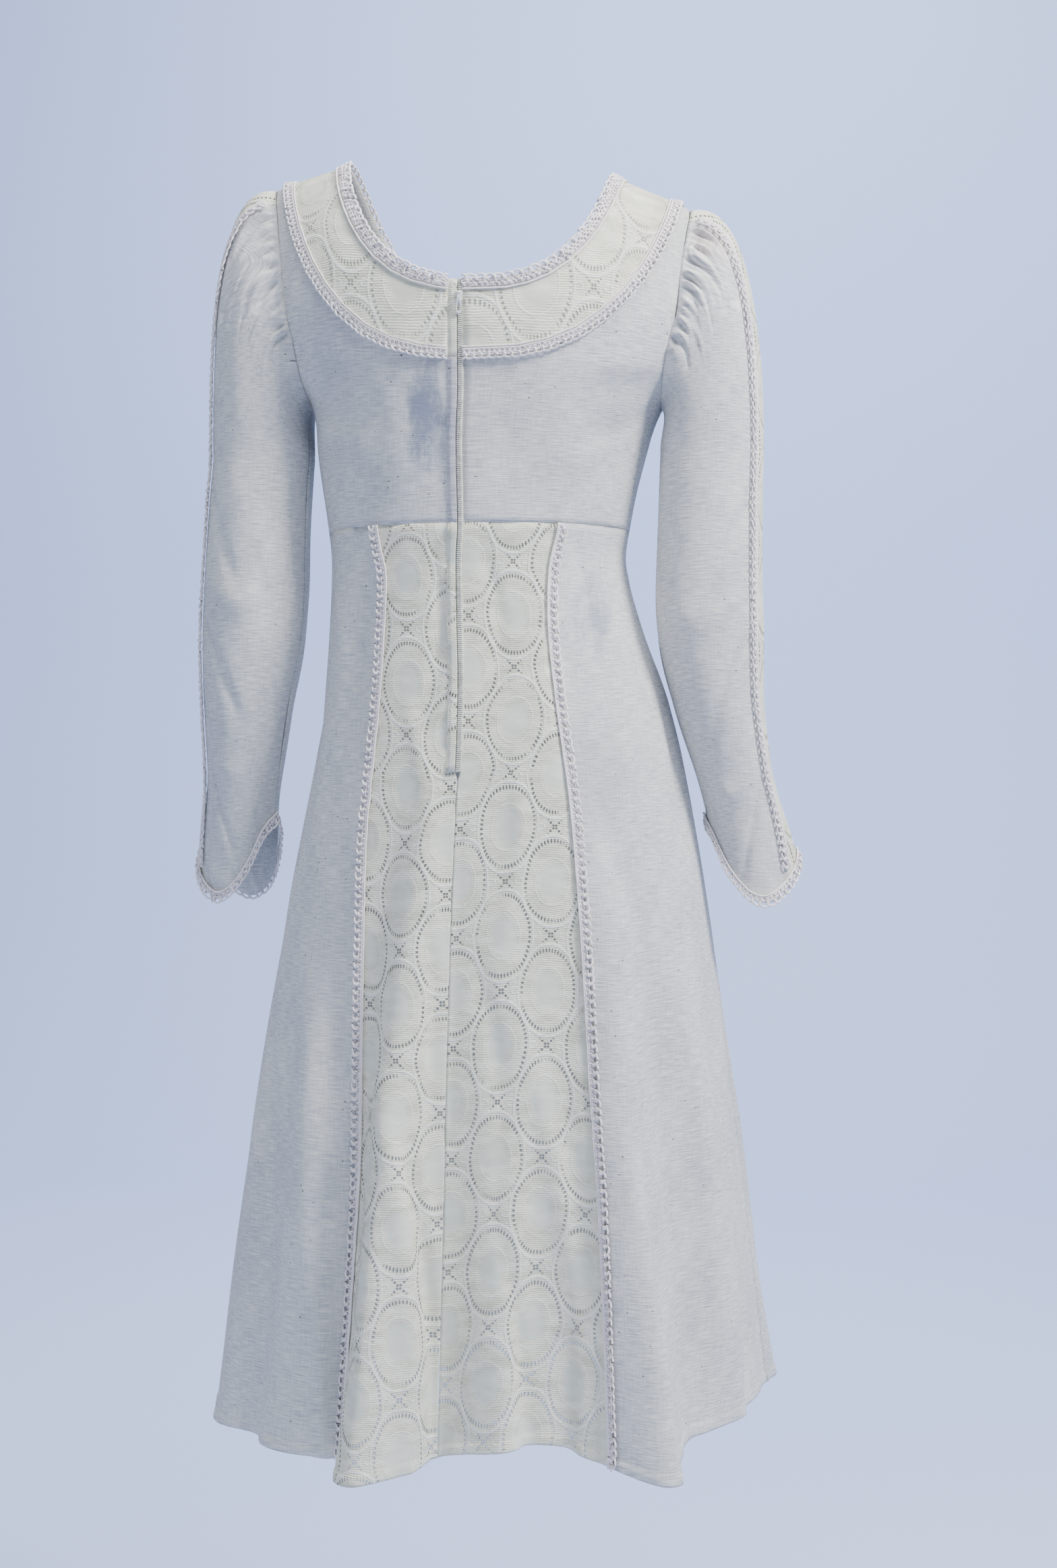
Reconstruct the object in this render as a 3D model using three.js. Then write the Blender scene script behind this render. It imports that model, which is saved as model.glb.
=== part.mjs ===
// An empire-line prairie dress of natural linen and cream lace, in the hollow form it keeps when worn.
// Millimetres, +Z up. The origin lies midway between the shoulders, where the dress is held.
// The back of the dress faces -Y, and +X is the wearer's right.
import * as THREE from "three";

// Cloth and seams
const WALL = 1.5;
const SEAM_GAP = 0.3;
const ARMHOLE_GAP = 0.9;
const SKIRT_INSET = 0.2;
const BACK_INSET = 0.18;
const TRIM_WALL = 1.2;
const DEGREE = Math.PI / 180;

// Heights along the body
const SHOULDER_TOP = 11;
const BLADE_HEIGHT = -165;
const UNDERARM = -192;
const EMPIRE = -300;
const ZIP_END = -511;
const ROUNDNESS = 2.2;

// Sections of the body: half width, depth behind and before the side seams, and sideways lean
const SECTIONS = [
  { height: 20, width: 200, back: 101, front: 88, shift: 4 },
  { height: -60, width: 197, back: 101, front: 98, shift: 7 },
  { height: -128, width: 190, back: 101, front: 108, shift: 9 },
  { height: -165, width: 172, back: 101, front: 118, shift: 9 },
  { height: -192, width: 152, back: 100, front: 121, shift: 8 },
  { height: -235, width: 142, back: 97, front: 112, shift: 4 },
  { height: -300, width: 130, back: 94, front: 95, shift: 2 },
  { height: -330, width: 127.5, back: 94, front: 95, shift: 2 },
  { height: -385, width: 136, back: 99, front: 100, shift: 8 },
  { height: -443, width: 149, back: 108, front: 108, shift: 16 },
  { height: -512, width: 162, back: 118, front: 119, shift: 19 },
  { height: -640, width: 184, back: 133, front: 138, shift: 18 },
  { height: -820, width: 209, back: 148, front: 163, shift: 14 },
  { height: -1060, width: 236, back: 162, front: 192, shift: 12 },
];
const SHOULDER_SLOPE = 0.35;
const SHOULDER_TILT = 0.08;

// Neckline and collar: half widths at the shoulder, and angles at centre back and front
const NECK_WIDTH = 117;
const NECK_RISE = 22;
const COLLAR_WIDTH = 172;
const SCOOP = 2.5;

// Armhole: its half width at each height
const ARMHOLE_TOP = -13;
const ARMHOLE = [
  { height: -13, width: 181 },
  { height: -45, width: 176 },
  { height: -76, width: 171.5 },
  { height: -114, width: 168 },
  { height: -140, width: 161 },
  { height: -175, width: 154.6 },
  { height: -192, width: 152 },
];

// Seams on the back, as distances from the body's centre line
const SEAMS = [
  { height: 0, laceLeft: -76, centre: -9, laceRight: 82 },
  { height: -165, laceLeft: -76, centre: -7, laceRight: 82 },
  { height: -300, laceLeft: -76, centre: -1, laceRight: 82 },
  { height: -340, laceLeft: -69, centre: -3, laceRight: 74 },
  { height: -388, laceLeft: -75, centre: -7, laceRight: 69 },
  { height: -450, laceLeft: -86, centre: -13, laceRight: 69 },
  { height: -540, laceLeft: -95, centre: -17, laceRight: 80 },
  { height: -630, laceLeft: -95, centre: -18, laceRight: 89 },
  { height: -750, laceLeft: -92, centre: -17, laceRight: 98 },
  { height: -850, laceLeft: -90, centre: -16, laceRight: 105 },
  { height: -1055, laceLeft: -98, centre: -18, laceRight: 113 },
];

// Skirt folds: angle from centre back, half width, depth at the hem and height where each begins
const FOLDS = [
  { angle: -158, spread: 15, depth: 40, begins: -520 },
  { angle: -122, spread: 17, depth: 34, begins: -500 },
  { angle: -88, spread: 14, depth: 5, begins: -640 },
  { angle: -66, spread: 13, depth: 8, begins: -520 },
  { angle: -36, spread: 13, depth: 17, begins: -500 },
  { angle: -13, spread: 10.5, depth: 62, begins: -470 },
  { angle: 5.5, spread: 9, depth: 20, begins: -560 },
  { angle: 34, spread: 14, depth: 56, begins: -560 },
  { angle: 66, spread: 15, depth: 10, begins: -500 },
  { angle: 106, spread: 16, depth: 18, begins: -560 },
  { angle: 140, spread: 16, depth: 44, begins: -500 },
  { angle: 172, spread: 14, depth: 32, begins: -600 },
];
const FOLD_GROWTH = 1.25;

// Hem height round the skirt
const HEM = [
  { angle: -180, height: -1046 },
  { angle: -90, height: -1056 },
  { angle: -60, height: -1058 },
  { angle: -36, height: -1058 },
  { angle: -13, height: -1066 },
  { angle: 4, height: -1048 },
  { angle: 18, height: -1046 },
  { angle: 34, height: -1066 },
  { angle: 50, height: -1044 },
  { angle: 90, height: -1032 },
  { angle: 180, height: -1046 },
];

// Sleeve tube: centre of each arm, and half width and depth
const SLEEVE_TOP = -235;
const SLEEVE = [
  { height: -235, left: -188, right: 204, lean: -4, width: 44, depth: 50 },
  { height: -272, left: -190, right: 203, lean: -7, width: 44.5, depth: 49 },
  { height: -386, left: -195, right: 203, lean: -12, width: 45, depth: 46 },
  { height: -454, left: -201, right: 211, lean: -9, width: 38, depth: 42 },
  { height: -532, left: -207, right: 228, lean: 0, width: 31, depth: 36 },
  { height: -620, left: -212, right: 243, lean: 10, width: 30, depth: 34 },
];
const HEAD_SPRING = 0.25;
const HEAD_FALL = 0.42;
const STRIP_ANGLE = 34;
const SLEEVE_TWIST = { left: 12, right: 0 };
const TRIM_ANGLE = 5.5;
const CUFF_FLARE = 9;
const CUFF_FLARE_FROM = -500;
const GATHER_DEPTH = 3.4;
const GATHER_LENGTH = 0.62;

// Cuff edge height round the wrist, from the outside of the arm to the inside
const CUFF = [
  { angle: 0, height: -576 },
  { angle: 20, height: -592 },
  { angle: 45, height: -607 },
  { angle: 75, height: -616 },
  { angle: 100, height: -610 },
  { angle: 125, height: -590 },
  { angle: 150, height: -560 },
  { angle: 180, height: -546 },
];

// Zip and its placket
const ZIP_HALF_GAP = 2;
const PLACKET_WIDTH = 8;
const PLACKET_WALL = 1.4;
const SLIDER = { width: 6.4, length: 9, height: 3.2, below: 11, bevel: 0.6 };
const PULL = { width: 5, length: 17, thickness: 1.4, eye: 1.4, bevel: 0.3, gap: 1.3 };

// Trims on the collar
const SCALLOP_PITCH = 14;
const NECK_TRIM = { inner: -9, outer: 2.5, scallop: 3 };
const COLLAR_TRIM = { inner: -9, outer: 2.5, scallop: 3 };
const COLLAR_TRIM_LIFT = 2.7;
const CUFF_TRIM = { above: 4, below: 4 };

// Stations of the panel grids
const YOKE_ANGLES = [14, 23, 32, 41, 49, 56, 62, 67, 72, 77, 81.5, 86, 90];
const CHEST_ANGLES = [12, 26, 40, 55, 71, 90];
const ARMHOLE_ANGLES = [155, 130, 105, 80, 55, 30, 0];
const COLLAR_STEPS = 2;
const YOKE_STEPS = 5;
const BODICE_HEIGHTS = [-192, -218, -245, -272, -300];
const SKIRT_HEIGHTS = [
  -300, -325, -355, -400, -445, -490, -511, -550, -610, -670, -730, -795, -860, -925, -990, -1052,
];
const HEAD_STATIONS = [0, 0.1, 0.22, 0.38, 0.58, 0.8, 1];
const TUBE_STATIONS = [1.16, 1.34, 1.5, 1.66, 1.81, 1.95, 2];
const GATHER_COLUMNS = 12;
const GATHER_END = 112;
const STRIP_TURNS = [-34, -28.5, -17, -8.5, 0, 8.5, 17, 28.5, 34];

const LINEN = { color: 0xd6d6cf, roughness: 0.9 };
const LACE = { color: 0xe0ddc8, roughness: 0.92 };
const TRIM = { color: 0xe6dfe0, roughness: 0.95 };
const NYLON = { color: 0xe8e6dc, roughness: 0.45 };

const dress = new THREE.Group();

// Reads a table by its first column, with a smooth curve through its rows.
function smooth(rows, key, at, by = "height") {
  const sorted = rows[0][by] < rows[rows.length - 1][by] ? rows : [...rows].reverse();
  const last = sorted.length - 1;
  const x = THREE.MathUtils.clamp(at, sorted[0][by], sorted[last][by]);
  let i = 0;
  while (i < last - 1 && x > sorted[i + 1][by]) i += 1;
  const slope = (k) => {
    const a = sorted[Math.max(0, k - 1)];
    const b = sorted[Math.min(last, k + 1)];
    return (b[key] - a[key]) / (b[by] - a[by]);
  };
  const span = sorted[i + 1][by] - sorted[i][by];
  const t = (x - sorted[i][by]) / span;
  const rise = 3 * t * t - 2 * t * t * t;
  const early = t - 2 * t * t + t * t * t;
  const late = t * t * t - t * t;
  const level = sorted[i][key] + (sorted[i + 1][key] - sorted[i][key]) * rise;
  return level + span * (slope(i) * early + slope(i + 1) * late);
}

const lerp = THREE.MathUtils.lerp;

// Signed power, for the rounded sections.
function power(value, exponent) {
  return Math.sign(value) * Math.abs(value) ** exponent;
}

// How far a fold stands out at an angle and height: a raised cosine that grows towards the hem.
function foldDepth(angle, height) {
  let total = 0;
  for (const fold of FOLDS) {
    const turn = ((angle - fold.angle + 540) % 360) - 180;
    const across = Math.abs(turn) / fold.spread;
    if (across >= 1 || height >= fold.begins) continue;
    const fall = (fold.begins - height) / (fold.begins - smooth(HEM, "height", 0, "angle"));
    total += fold.depth * fall ** FOLD_GROWTH * (0.5 + 0.5 * Math.cos(Math.PI * across));
  }
  return total;
}

// The shoulder line falls away from the neck.
function shoulderHeight(x) {
  return SHOULDER_TOP - SHOULDER_SLOPE * Math.max(0, Math.abs(x) - NECK_WIDTH);
}

// Moves a point from the upright form into the worn pose: a lean, and one shoulder higher.
function posed(x, y, z, height) {
  const share = THREE.MathUtils.smoothstep(height, EMPIRE, SHOULDER_TOP);
  return new THREE.Vector3(x + smooth(SECTIONS, "shift", height), y, z - SHOULDER_TILT * x * share);
}

// A point of the body by angle from centre back and nominal height. Above the shoulder blades the
// section closes towards the shoulder line.
function bodyPoint(angle, height) {
  const width = smooth(SECTIONS, "width", height);
  const behind = Math.cos(angle * DEGREE) >= 0;
  const depth = smooth(SECTIONS, behind ? "back" : "front", height);
  const out = foldDepth(angle, height);
  const x = (width + out) * power(Math.sin(angle * DEGREE), 2 / ROUNDNESS);
  const y = -(depth + out) * power(Math.cos(angle * DEGREE), 2 / ROUNDNESS);
  if (height <= BLADE_HEIGHT) return posed(x, y, height, height);
  const turn = ((height - BLADE_HEIGHT) / (SHOULDER_TOP - BLADE_HEIGHT)) * 90 * DEGREE;
  const z = BLADE_HEIGHT + (shoulderHeight(x) - BLADE_HEIGHT) * Math.sin(turn);
  return posed(x, y * Math.cos(turn), z, height);
}

// The angle of a point at a distance from the centre line.
function angleAt(x, height) {
  const ratio = x / smooth(SECTIONS, "width", height);
  return Math.asin(THREE.MathUtils.clamp(power(ratio, ROUNDNESS / 2), -1, 1)) / DEGREE;
}

// A sample of a surface: its point and its outward normal, from differences in both directions.
function sample(surface, u, v, stepU, stepV) {
  const alongU = surface(u + stepU, v).sub(surface(u - stepU, v));
  const alongV = surface(u, v + stepV).sub(surface(u, v - stepV));
  return { point: surface(u, v), normal: alongU.cross(alongV).normalize() };
}

function bodySample(angle, height) {
  const topmost = Math.min(height, SHOULDER_TOP - 0.5);
  const made = sample(bodyPoint, angle, topmost, 0.4, 0.4);
  made.point = bodyPoint(angle, height);
  return made;
}

// Mirrored samples keep their normals pointing out.
function sideSample(side, angle, height) {
  return bodySample(side * angle, height);
}

// The triangles of one grid, turned to face the way its samples' normals do.
function gridFaces(grid, indexOf, samples) {
  const faces = [];
  for (let r = 0; r + 1 < grid.length; r += 1) {
    for (let c = 0; c + 1 < grid[r].length; c += 1) {
      const corners = [grid[r][c], grid[r][c + 1], grid[r + 1][c + 1], grid[r + 1][c]];
      const [i, j, k, l] = corners.map(indexOf);
      faces.push([i, j, k], [i, k, l]);
    }
  }
  const whole = faces.filter(([i, j, k]) => i !== j && j !== k && i !== k);
  const facing = whole.reduce((total, face) => {
    const [a, b, c] = face.map((i) => samples[i].point);
    return total + b.clone().sub(a).cross(c.clone().sub(a)).dot(samples[face[0]].normal);
  }, 0);
  return facing < 0 ? whole.map(([i, j, k]) => [i, k, j]) : whole;
}

// Joins grids of samples into one sheet, merging the points that they share.
function joinGrids(grids) {
  const samples = [];
  const found = new Map();
  const indexOf = (made) => {
    const key = made.point.toArray().map((value) => Math.round(value * 1000)).join();
    if (!found.has(key)) {
      found.set(key, samples.length);
      samples.push(made);
    }
    return found.get(key);
  };
  const faces = grids.flatMap((grid) => gridFaces(grid, indexOf, samples));
  return { samples, faces };
}

// Edges that belong to one face only, each in its face's direction.
function openEdges(faces) {
  const seen = new Map();
  for (const [a, b, c] of faces) {
    for (const [from, to] of [[a, b], [b, c], [c, a]]) {
      const back = to + "," + from;
      if (seen.has(back)) seen.delete(back);
      else seen.set(from + "," + to, [from, to]);
    }
  }
  return [...seen.values()];
}

// A closed wall on a sheet, from one lift to another above it, drawn in at its edges by half a seam gap.
function wallOf(grids, low = -WALL, high = 0, inset = SEAM_GAP / 2) {
  const { samples, faces } = joinGrids(grids);
  const edges = openEdges(faces);
  const draw = samples.map(() => new THREE.Vector3());
  for (const [from, to] of edges) {
    const along = samples[to].point.clone().sub(samples[from].point);
    const inward = samples[from].normal.clone().cross(along).normalize();
    draw[from].add(inward);
    draw[to].add(inward);
  }
  const positions = [];
  const layers = [high, low];
  for (const lift of layers) {
    samples.forEach(({ point, normal }, i) => {
      const shift = draw[i].lengthSq() > 0 ? draw[i].clone().normalize().multiplyScalar(inset) : draw[i];
      positions.push(...point.clone().addScaledVector(normal, lift).add(shift).toArray());
    });
  }
  const count = samples.length;
  const index = faces.flat();
  faces.forEach(([i, j, k]) => index.push(i + count, k + count, j + count));
  edges.forEach(([from, to]) => {
    index.push(to, from, from + count);
    index.push(to, from + count, to + count);
  });
  const geometry = new THREE.BufferGeometry();
  geometry.setAttribute("position", new THREE.Float32BufferAttribute(positions, 3));
  geometry.setIndex(index);
  return geometry;
}

// Adds one piece of the dress under its own name, with its own material.
function add(name, geometry, finish) {
  geometry.computeVertexNormals();
  const mesh = new THREE.Mesh(geometry, new THREE.MeshStandardMaterial({ ...finish, metalness: 0 }));
  mesh.name = name;
  dress.add(mesh);
  return mesh;
}

// A point of the band between neckline and collar edge: share 0 is the neckline, 1 the collar edge.
function bandPlace(turn, share) {
  const x = lerp(NECK_WIDTH, COLLAR_WIDTH, share) * Math.sin(turn * DEGREE);
  const low = lerp(NECK_RISE, 0, share);
  const rise = low + (90 - low) * (turn / 90) ** SCOOP;
  const height = BLADE_HEIGHT + (rise / 90) * (SHOULDER_TOP - BLADE_HEIGHT);
  return { angle: angleAt(x, height), height };
}

// A place on the armhole by its angle from the shoulder point, 180 at the underarm.
function armholePlace(turn) {
  const middle = (ARMHOLE_TOP + UNDERARM) / 2;
  const z = middle + (ARMHOLE_TOP - middle) * Math.cos(turn * DEGREE);
  const x = smooth(ARMHOLE, "width", z);
  if (z <= BLADE_HEIGHT) return { angle: turn >= 180 ? 90 : angleAt(x, z), height: z };
  const rise = (z - BLADE_HEIGHT) / (shoulderHeight(x) - BLADE_HEIGHT);
  const share = Math.asin(THREE.MathUtils.clamp(rise, -1, 1)) / (90 * DEGREE);
  const height = turn === 0 ? SHOULDER_TOP : lerp(BLADE_HEIGHT, SHOULDER_TOP, share);
  return { angle: angleAt(x, height), height };
}

// The stations beside the centre back: the zip's edge, and on the left the placket's outer edge.
const CENTRE_OFFSETS = { left: [ZIP_HALF_GAP + PLACKET_WIDTH, ZIP_HALF_GAP], right: [ZIP_HALF_GAP] };

// The angle of a line that keeps its distance from the centre back seam, on one side of it.
function besideCentre(side, offset, height) {
  const x = smooth(SEAMS, "centre", height) + side * offset;
  return side * angleAt(x, height);
}

// One column of the yoke, from the neckline to the chest line or the armhole, as samples.
function yokeColumn(side, front, turn, end) {
  const column = [];
  const stations = COLLAR_STEPS + YOKE_STEPS;
  const edge = bandPlace(turn, 1);
  for (let step = 0; step <= stations; step += 1) {
    const inBand = step <= COLLAR_STEPS;
    const place = bandPlace(turn, Math.min(1, step / COLLAR_STEPS));
    const share = inBand ? 0 : (step - COLLAR_STEPS) / YOKE_STEPS;
    const angle = inBand ? place.angle : lerp(edge.angle, end.angle, share);
    const height = inBand ? place.height : lerp(edge.height, end.height, share);
    column.push(sideSample(side, front ? 180 - angle : angle, height));
  }
  return column;
}

// A column beside the zip, level with the columns next to it.
function zipColumn(side, offset, heights) {
  return heights.map((height) => sideSample(side, besideCentre(side, offset, height), height));
}

const transposed = (grid) => grid[0].map((_, i) => grid.map((line) => line[i]));

// Heights of the yoke's rows at the centre line.
function centreHeights() {
  const heights = [];
  for (let step = 0; step <= COLLAR_STEPS + YOKE_STEPS; step += 1) {
    const inBand = step <= COLLAR_STEPS;
    const share = inBand ? step / COLLAR_STEPS : (step - COLLAR_STEPS) / YOKE_STEPS;
    const band = bandPlace(0, inBand ? share : 1).height;
    heights.push(inBand ? band : lerp(band, UNDERARM, share));
  }
  return heights;
}

// The yoke and the bodice below it on one side, back or front.
function bodiceHalf(side, front) {
  const ends = CHEST_ANGLES.map((angle) => ({ angle, height: UNDERARM }));
  ARMHOLE_ANGLES.forEach((turn) => ends.push(armholePlace(turn)));
  const columns = YOKE_ANGLES.map((turn, i) => yokeColumn(side, front, turn, ends[i]));
  const chest = CHEST_ANGLES.map((angle) =>
    BODICE_HEIGHTS.map((height) => sideSample(side, front ? 180 - angle : angle, height)),
  );
  const levels = centreHeights();
  if (front) {
    columns.unshift(yokeColumn(side, true, 0, { angle: 0, height: UNDERARM }));
    chest.unshift(BODICE_HEIGHTS.map((height) => sideSample(side, 180, height)));
  } else {
    for (const offset of CENTRE_OFFSETS[side < 0 ? "left" : "right"]) {
      columns.unshift(zipColumn(side, offset, levels));
      chest.unshift(zipColumn(side, offset, BODICE_HEIGHTS));
    }
  }
  return { yoke: transposed(columns), chest: transposed(chest) };
}

// A sample part of the way between two others.
function between(a, b, share) {
  const point = a.point.clone().lerp(b.point, share);
  return { point, normal: a.normal.clone().lerp(b.normal, share).normalize() };
}

// A sample a distance past a, on the line from b, or towards b where the distance is negative.
function beyond(a, b, distance) {
  const away = a.point.clone().sub(b.point).normalize();
  return { point: a.point.clone().addScaledVector(away, distance), normal: a.normal };
}

// Splits a line of samples into equal steps along its length, with their distances.
function evenSteps(line, pitch) {
  const lengths = [0];
  line.slice(1).forEach((made, i) => lengths.push(lengths[i] + made.point.distanceTo(line[i].point)));
  const total = lengths[lengths.length - 1];
  const count = Math.max(2, 2 * Math.round(total / pitch));
  const places = [];
  for (let k = 0; k <= count; k += 1) {
    const at = (total * k) / count;
    let i = 0;
    while (i < line.length - 2 && lengths[i + 1] < at) i += 1;
    places.push({ i, share: (at - lengths[i]) / (lengths[i + 1] - lengths[i]) });
  }
  return places;
}

// A scalloped trim along the edge line, which lies on the facets between it and the next line inside.
function scallopedTrim(edge, inside, sizes) {
  const grid = evenSteps(edge, SCALLOP_PITCH).map(({ i, share }, k) => {
    const a = between(edge[i], edge[i + 1], share);
    const b = between(inside[i], inside[i + 1], share);
    const reach = sizes.outer + (k % 2 ? sizes.scallop / 2 : -sizes.scallop / 2);
    return [beyond(a, b, sizes.inner), beyond(a, b, reach)];
  });
  return grid;
}

// Bodice, collar and their trims
const bodice = {};
for (const [name, side] of [["left", -1], ["right", 1]]) {
  bodice[name] = { back: bodiceHalf(side, false), front: bodiceHalf(side, true) };
  const { yoke, chest } = bodice[name].back;
  add("bodice_back_" + name, wallOf([yoke, chest], -WALL, 0, BACK_INSET), LINEN);
}
const fronts = [bodice.left.front, bodice.right.front];
add("bodice_front", wallOf(fronts.flatMap(({ yoke, chest }) => [yoke, chest])), LINEN);

const collarLift = [SEAM_GAP, SEAM_GAP + TRIM_WALL];
const trimLift = [COLLAR_TRIM_LIFT, COLLAR_TRIM_LIFT + TRIM_WALL];

function collarRows(half, skip) {
  return half.yoke.slice(0, COLLAR_STEPS + 1).map((row) => row.slice(skip));
}

function addCollar(name, rows, grids = [rows]) {
  add("collar_" + name, wallOf(grids, ...collarLift), LACE);
  const edge = rows[0];
  const outer = rows[COLLAR_STEPS];
  const neckTrim = scallopedTrim(edge, rows[1], NECK_TRIM);
  const outerTrim = scallopedTrim(outer, rows[COLLAR_STEPS - 1], COLLAR_TRIM);
  add("neck_trim_" + name, wallOf([neckTrim], ...trimLift), TRIM);
  add("collar_trim_" + name, wallOf([outerTrim], ...trimLift), TRIM);
}

addCollar("back_left", collarRows(bodice.left.back, 1));
addCollar("back_right", collarRows(bodice.right.back, 0));
const frontHalves = fronts.map((half) => collarRows(half, 0));
const frontRows = frontHalves[0].map((row, i) => [...[...row].reverse(), ...frontHalves[1][i].slice(1)]);
addCollar("front", frontRows, frontHalves);

// Skirt panels, from the empire seam to the hem
function skirtHeight(angle, level) {
  const span = SKIRT_HEIGHTS[SKIRT_HEIGHTS.length - 1] - EMPIRE;
  return lerp(EMPIRE, smooth(HEM, "height", angle, "angle"), (level - EMPIRE) / span);
}

function seamAngle(key, level, offset = 0) {
  return angleAt(smooth(SEAMS, key, level) + offset, level);
}

// A panel between two seam lines, with a narrow column beside each seam for the trim to lie on.
function skirtPanel(leftAngle, rightAngle, columns, besideLeft, besideRight) {
  return SKIRT_HEIGHTS.map((level) => {
    const from = leftAngle(level);
    const to = rightAngle(level);
    const reach = smooth(SECTIONS, "width", level) * DEGREE;
    const start = from + besideLeft / reach;
    const end = to - besideRight / reach;
    const angles = besideLeft ? [from] : [];
    for (let c = 0; c <= columns; c += 1) angles.push(lerp(start, end, c / columns));
    if (besideRight) angles.push(to);
    return angles.map((angle) => bodySample(angle, skirtHeight(angle, level)));
  });
}

const SKIRT_TRIM_HALF = 4.5;
const SIDE_SEAM = 96;
const zipOpen = (level) => (level >= ZIP_END ? ZIP_HALF_GAP : 0);
const leftLace = (level) => seamAngle("laceLeft", level);
const rightLace = (level) => seamAngle("laceRight", level);
const leftCentre = (level) => seamAngle("centre", level, -zipOpen(level));
const rightCentre = (level) => seamAngle("centre", level, zipOpen(level));
const panels = {
  skirt_side_back_left: skirtPanel(() => -SIDE_SEAM, leftLace, 13, 0, SKIRT_TRIM_HALF),
  skirt_lace_left: skirtPanel(leftLace, leftCentre, 8, SKIRT_TRIM_HALF, PLACKET_WIDTH),
  skirt_lace_right: skirtPanel(rightCentre, rightLace, 10, 0, SKIRT_TRIM_HALF),
  skirt_side_back_right: skirtPanel(rightLace, () => SIDE_SEAM, 14, SKIRT_TRIM_HALF, 0),
  skirt_front: skirtPanel(() => SIDE_SEAM, () => 360 - SIDE_SEAM, 23, 0, 0),
};
for (const [name, grid] of Object.entries(panels)) {
  add(name, wallOf([grid], -WALL, 0, SKIRT_INSET), name.includes("lace") ? LACE : LINEN);
}

// A trim over a seam, on the narrow columns of the panels at both sides of it.
function seamTrim(leftGrid, rightGrid) {
  return leftGrid.map((row, r) => [...row.slice(-2), ...rightGrid[r].slice(1, 2)]);
}

const surfaceLift = [SEAM_GAP, SEAM_GAP + TRIM_WALL];
const leftTrim = seamTrim(panels.skirt_side_back_left, panels.skirt_lace_left);
const rightTrim = seamTrim(panels.skirt_lace_right, panels.skirt_side_back_right);
add("skirt_trim_left", wallOf([leftTrim], ...surfaceLift), TRIM);
add("skirt_trim_right", wallOf([rightTrim], ...surfaceLift), TRIM);

// Sleeves
function tubePoint(side, turn, height) {
  const name = side < 0 ? "left" : "right";
  const centre = smooth(SLEEVE, name, height);
  const angle = (turn - SLEEVE_TWIST[name]) * DEGREE;
  const width = smooth(SLEEVE, "width", height);
  const depth = smooth(SLEEVE, "depth", height);
  const low = THREE.MathUtils.smoothstep(-height, -CUFF_FLARE_FROM, -CUFF[0].height);
  const outward = Math.max(0, Math.cos(turn * DEGREE)) ** 4;
  const x = centre + side * (width * Math.cos(angle) + CUFF_FLARE * low * outward);
  const y = smooth(SLEEVE, "lean", height) - depth * Math.sin(angle);
  return new THREE.Vector3(x, y, height);
}

function armholePoint(side, turn) {
  const place = armholePlace(Math.abs(turn));
  const angle = turn < 0 ? 180 - place.angle : place.angle;
  return bodyPoint(side * angle, place.height).add(new THREE.Vector3(side * ARMHOLE_GAP, 0, 0));
}

// The head springs out from the armhole and falls into the tube.
function headPoint(side, turn, share) {
  const start = armholePoint(side, turn);
  const end = tubePoint(side, turn, SLEEVE_TOP);
  const down = (1 - Math.cos(turn * DEGREE)) / 2;
  const spring = new THREE.Vector3(
    side * lerp(0.98, 0.6, down),
    -0.25 * Math.sin(turn * DEGREE),
    lerp(0.2, -0.8, down),
  ).normalize();
  const span = start.distanceTo(end);
  const first = start.clone().addScaledVector(spring, HEAD_SPRING * span);
  const second = end.clone();
  second.z += HEAD_FALL * (start.z - end.z);
  return new THREE.CubicBezierCurve3(start, first, second, end).getPoint(share);
}

function cuffHeight(turn) {
  return smooth(CUFF, "height", Math.abs(turn), "angle");
}

// The sleeve's surface: 0 to 1 along the head, 1 to 2 along the tube to the cuff.
function sleevePoint(side, turn, along) {
  if (along <= 1) return headPoint(side, turn, along);
  return tubePoint(side, turn, lerp(SLEEVE_TOP, cuffHeight(turn), along - 1));
}

// How far the gathers stand out: ridges and valleys that leave the armhole seam and fade below it.
function gatherDepth(column, along) {
  if (along <= 0 || along >= GATHER_LENGTH) return 0;
  const grow = Math.min(1, along / HEAD_STATIONS[1]);
  const fade = 1 - along / GATHER_LENGTH;
  return (column % 2 ? 1 : -1) * GATHER_DEPTH * grow * fade;
}

function sleeveSample(side, turn, along, column) {
  const surface = (u, v) => sleevePoint(side, u, v);
  const inRange = THREE.MathUtils.clamp(along, 0.02, 1.98);
  const made = sample(surface, turn, inRange, 0.5, 0.01);
  made.normal.multiplyScalar(side * -1);
  made.point = sleevePoint(side, turn, along);
  made.point.addScaledVector(made.normal, gatherDepth(column, along));
  return made;
}

function sleeveGrid(side, turns, face) {
  const stations = [...HEAD_STATIONS, ...TUBE_STATIONS];
  return stations.map((along) =>
    turns.map((turn, column) => sleeveSample(side, face * turn, along, column)),
  );
}

// Angles round the back or front panel: fine where the head is gathered, wider below the arm.
function panelTurns() {
  const turns = [STRIP_ANGLE, STRIP_ANGLE + TRIM_ANGLE];
  const start = STRIP_ANGLE + TRIM_ANGLE;
  for (let c = 1; c <= GATHER_COLUMNS; c += 1) turns.push(lerp(start, GATHER_END, c / GATHER_COLUMNS));
  return [...turns, 129, 146, 163, 180];
}

// The crochet edge round the wrist lies over the cuff line and hangs below it.
function cuffTrim(grids) {
  return grids.map((grid) => {
    const last = grid[grid.length - 1];
    const above = grid[grid.length - 2];
    return last.map((made, c) => [
      beyond(made, above[c], -CUFF_TRIM.above),
      beyond(made, above[c], CUFF_TRIM.below),
    ]);
  });
}

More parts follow.
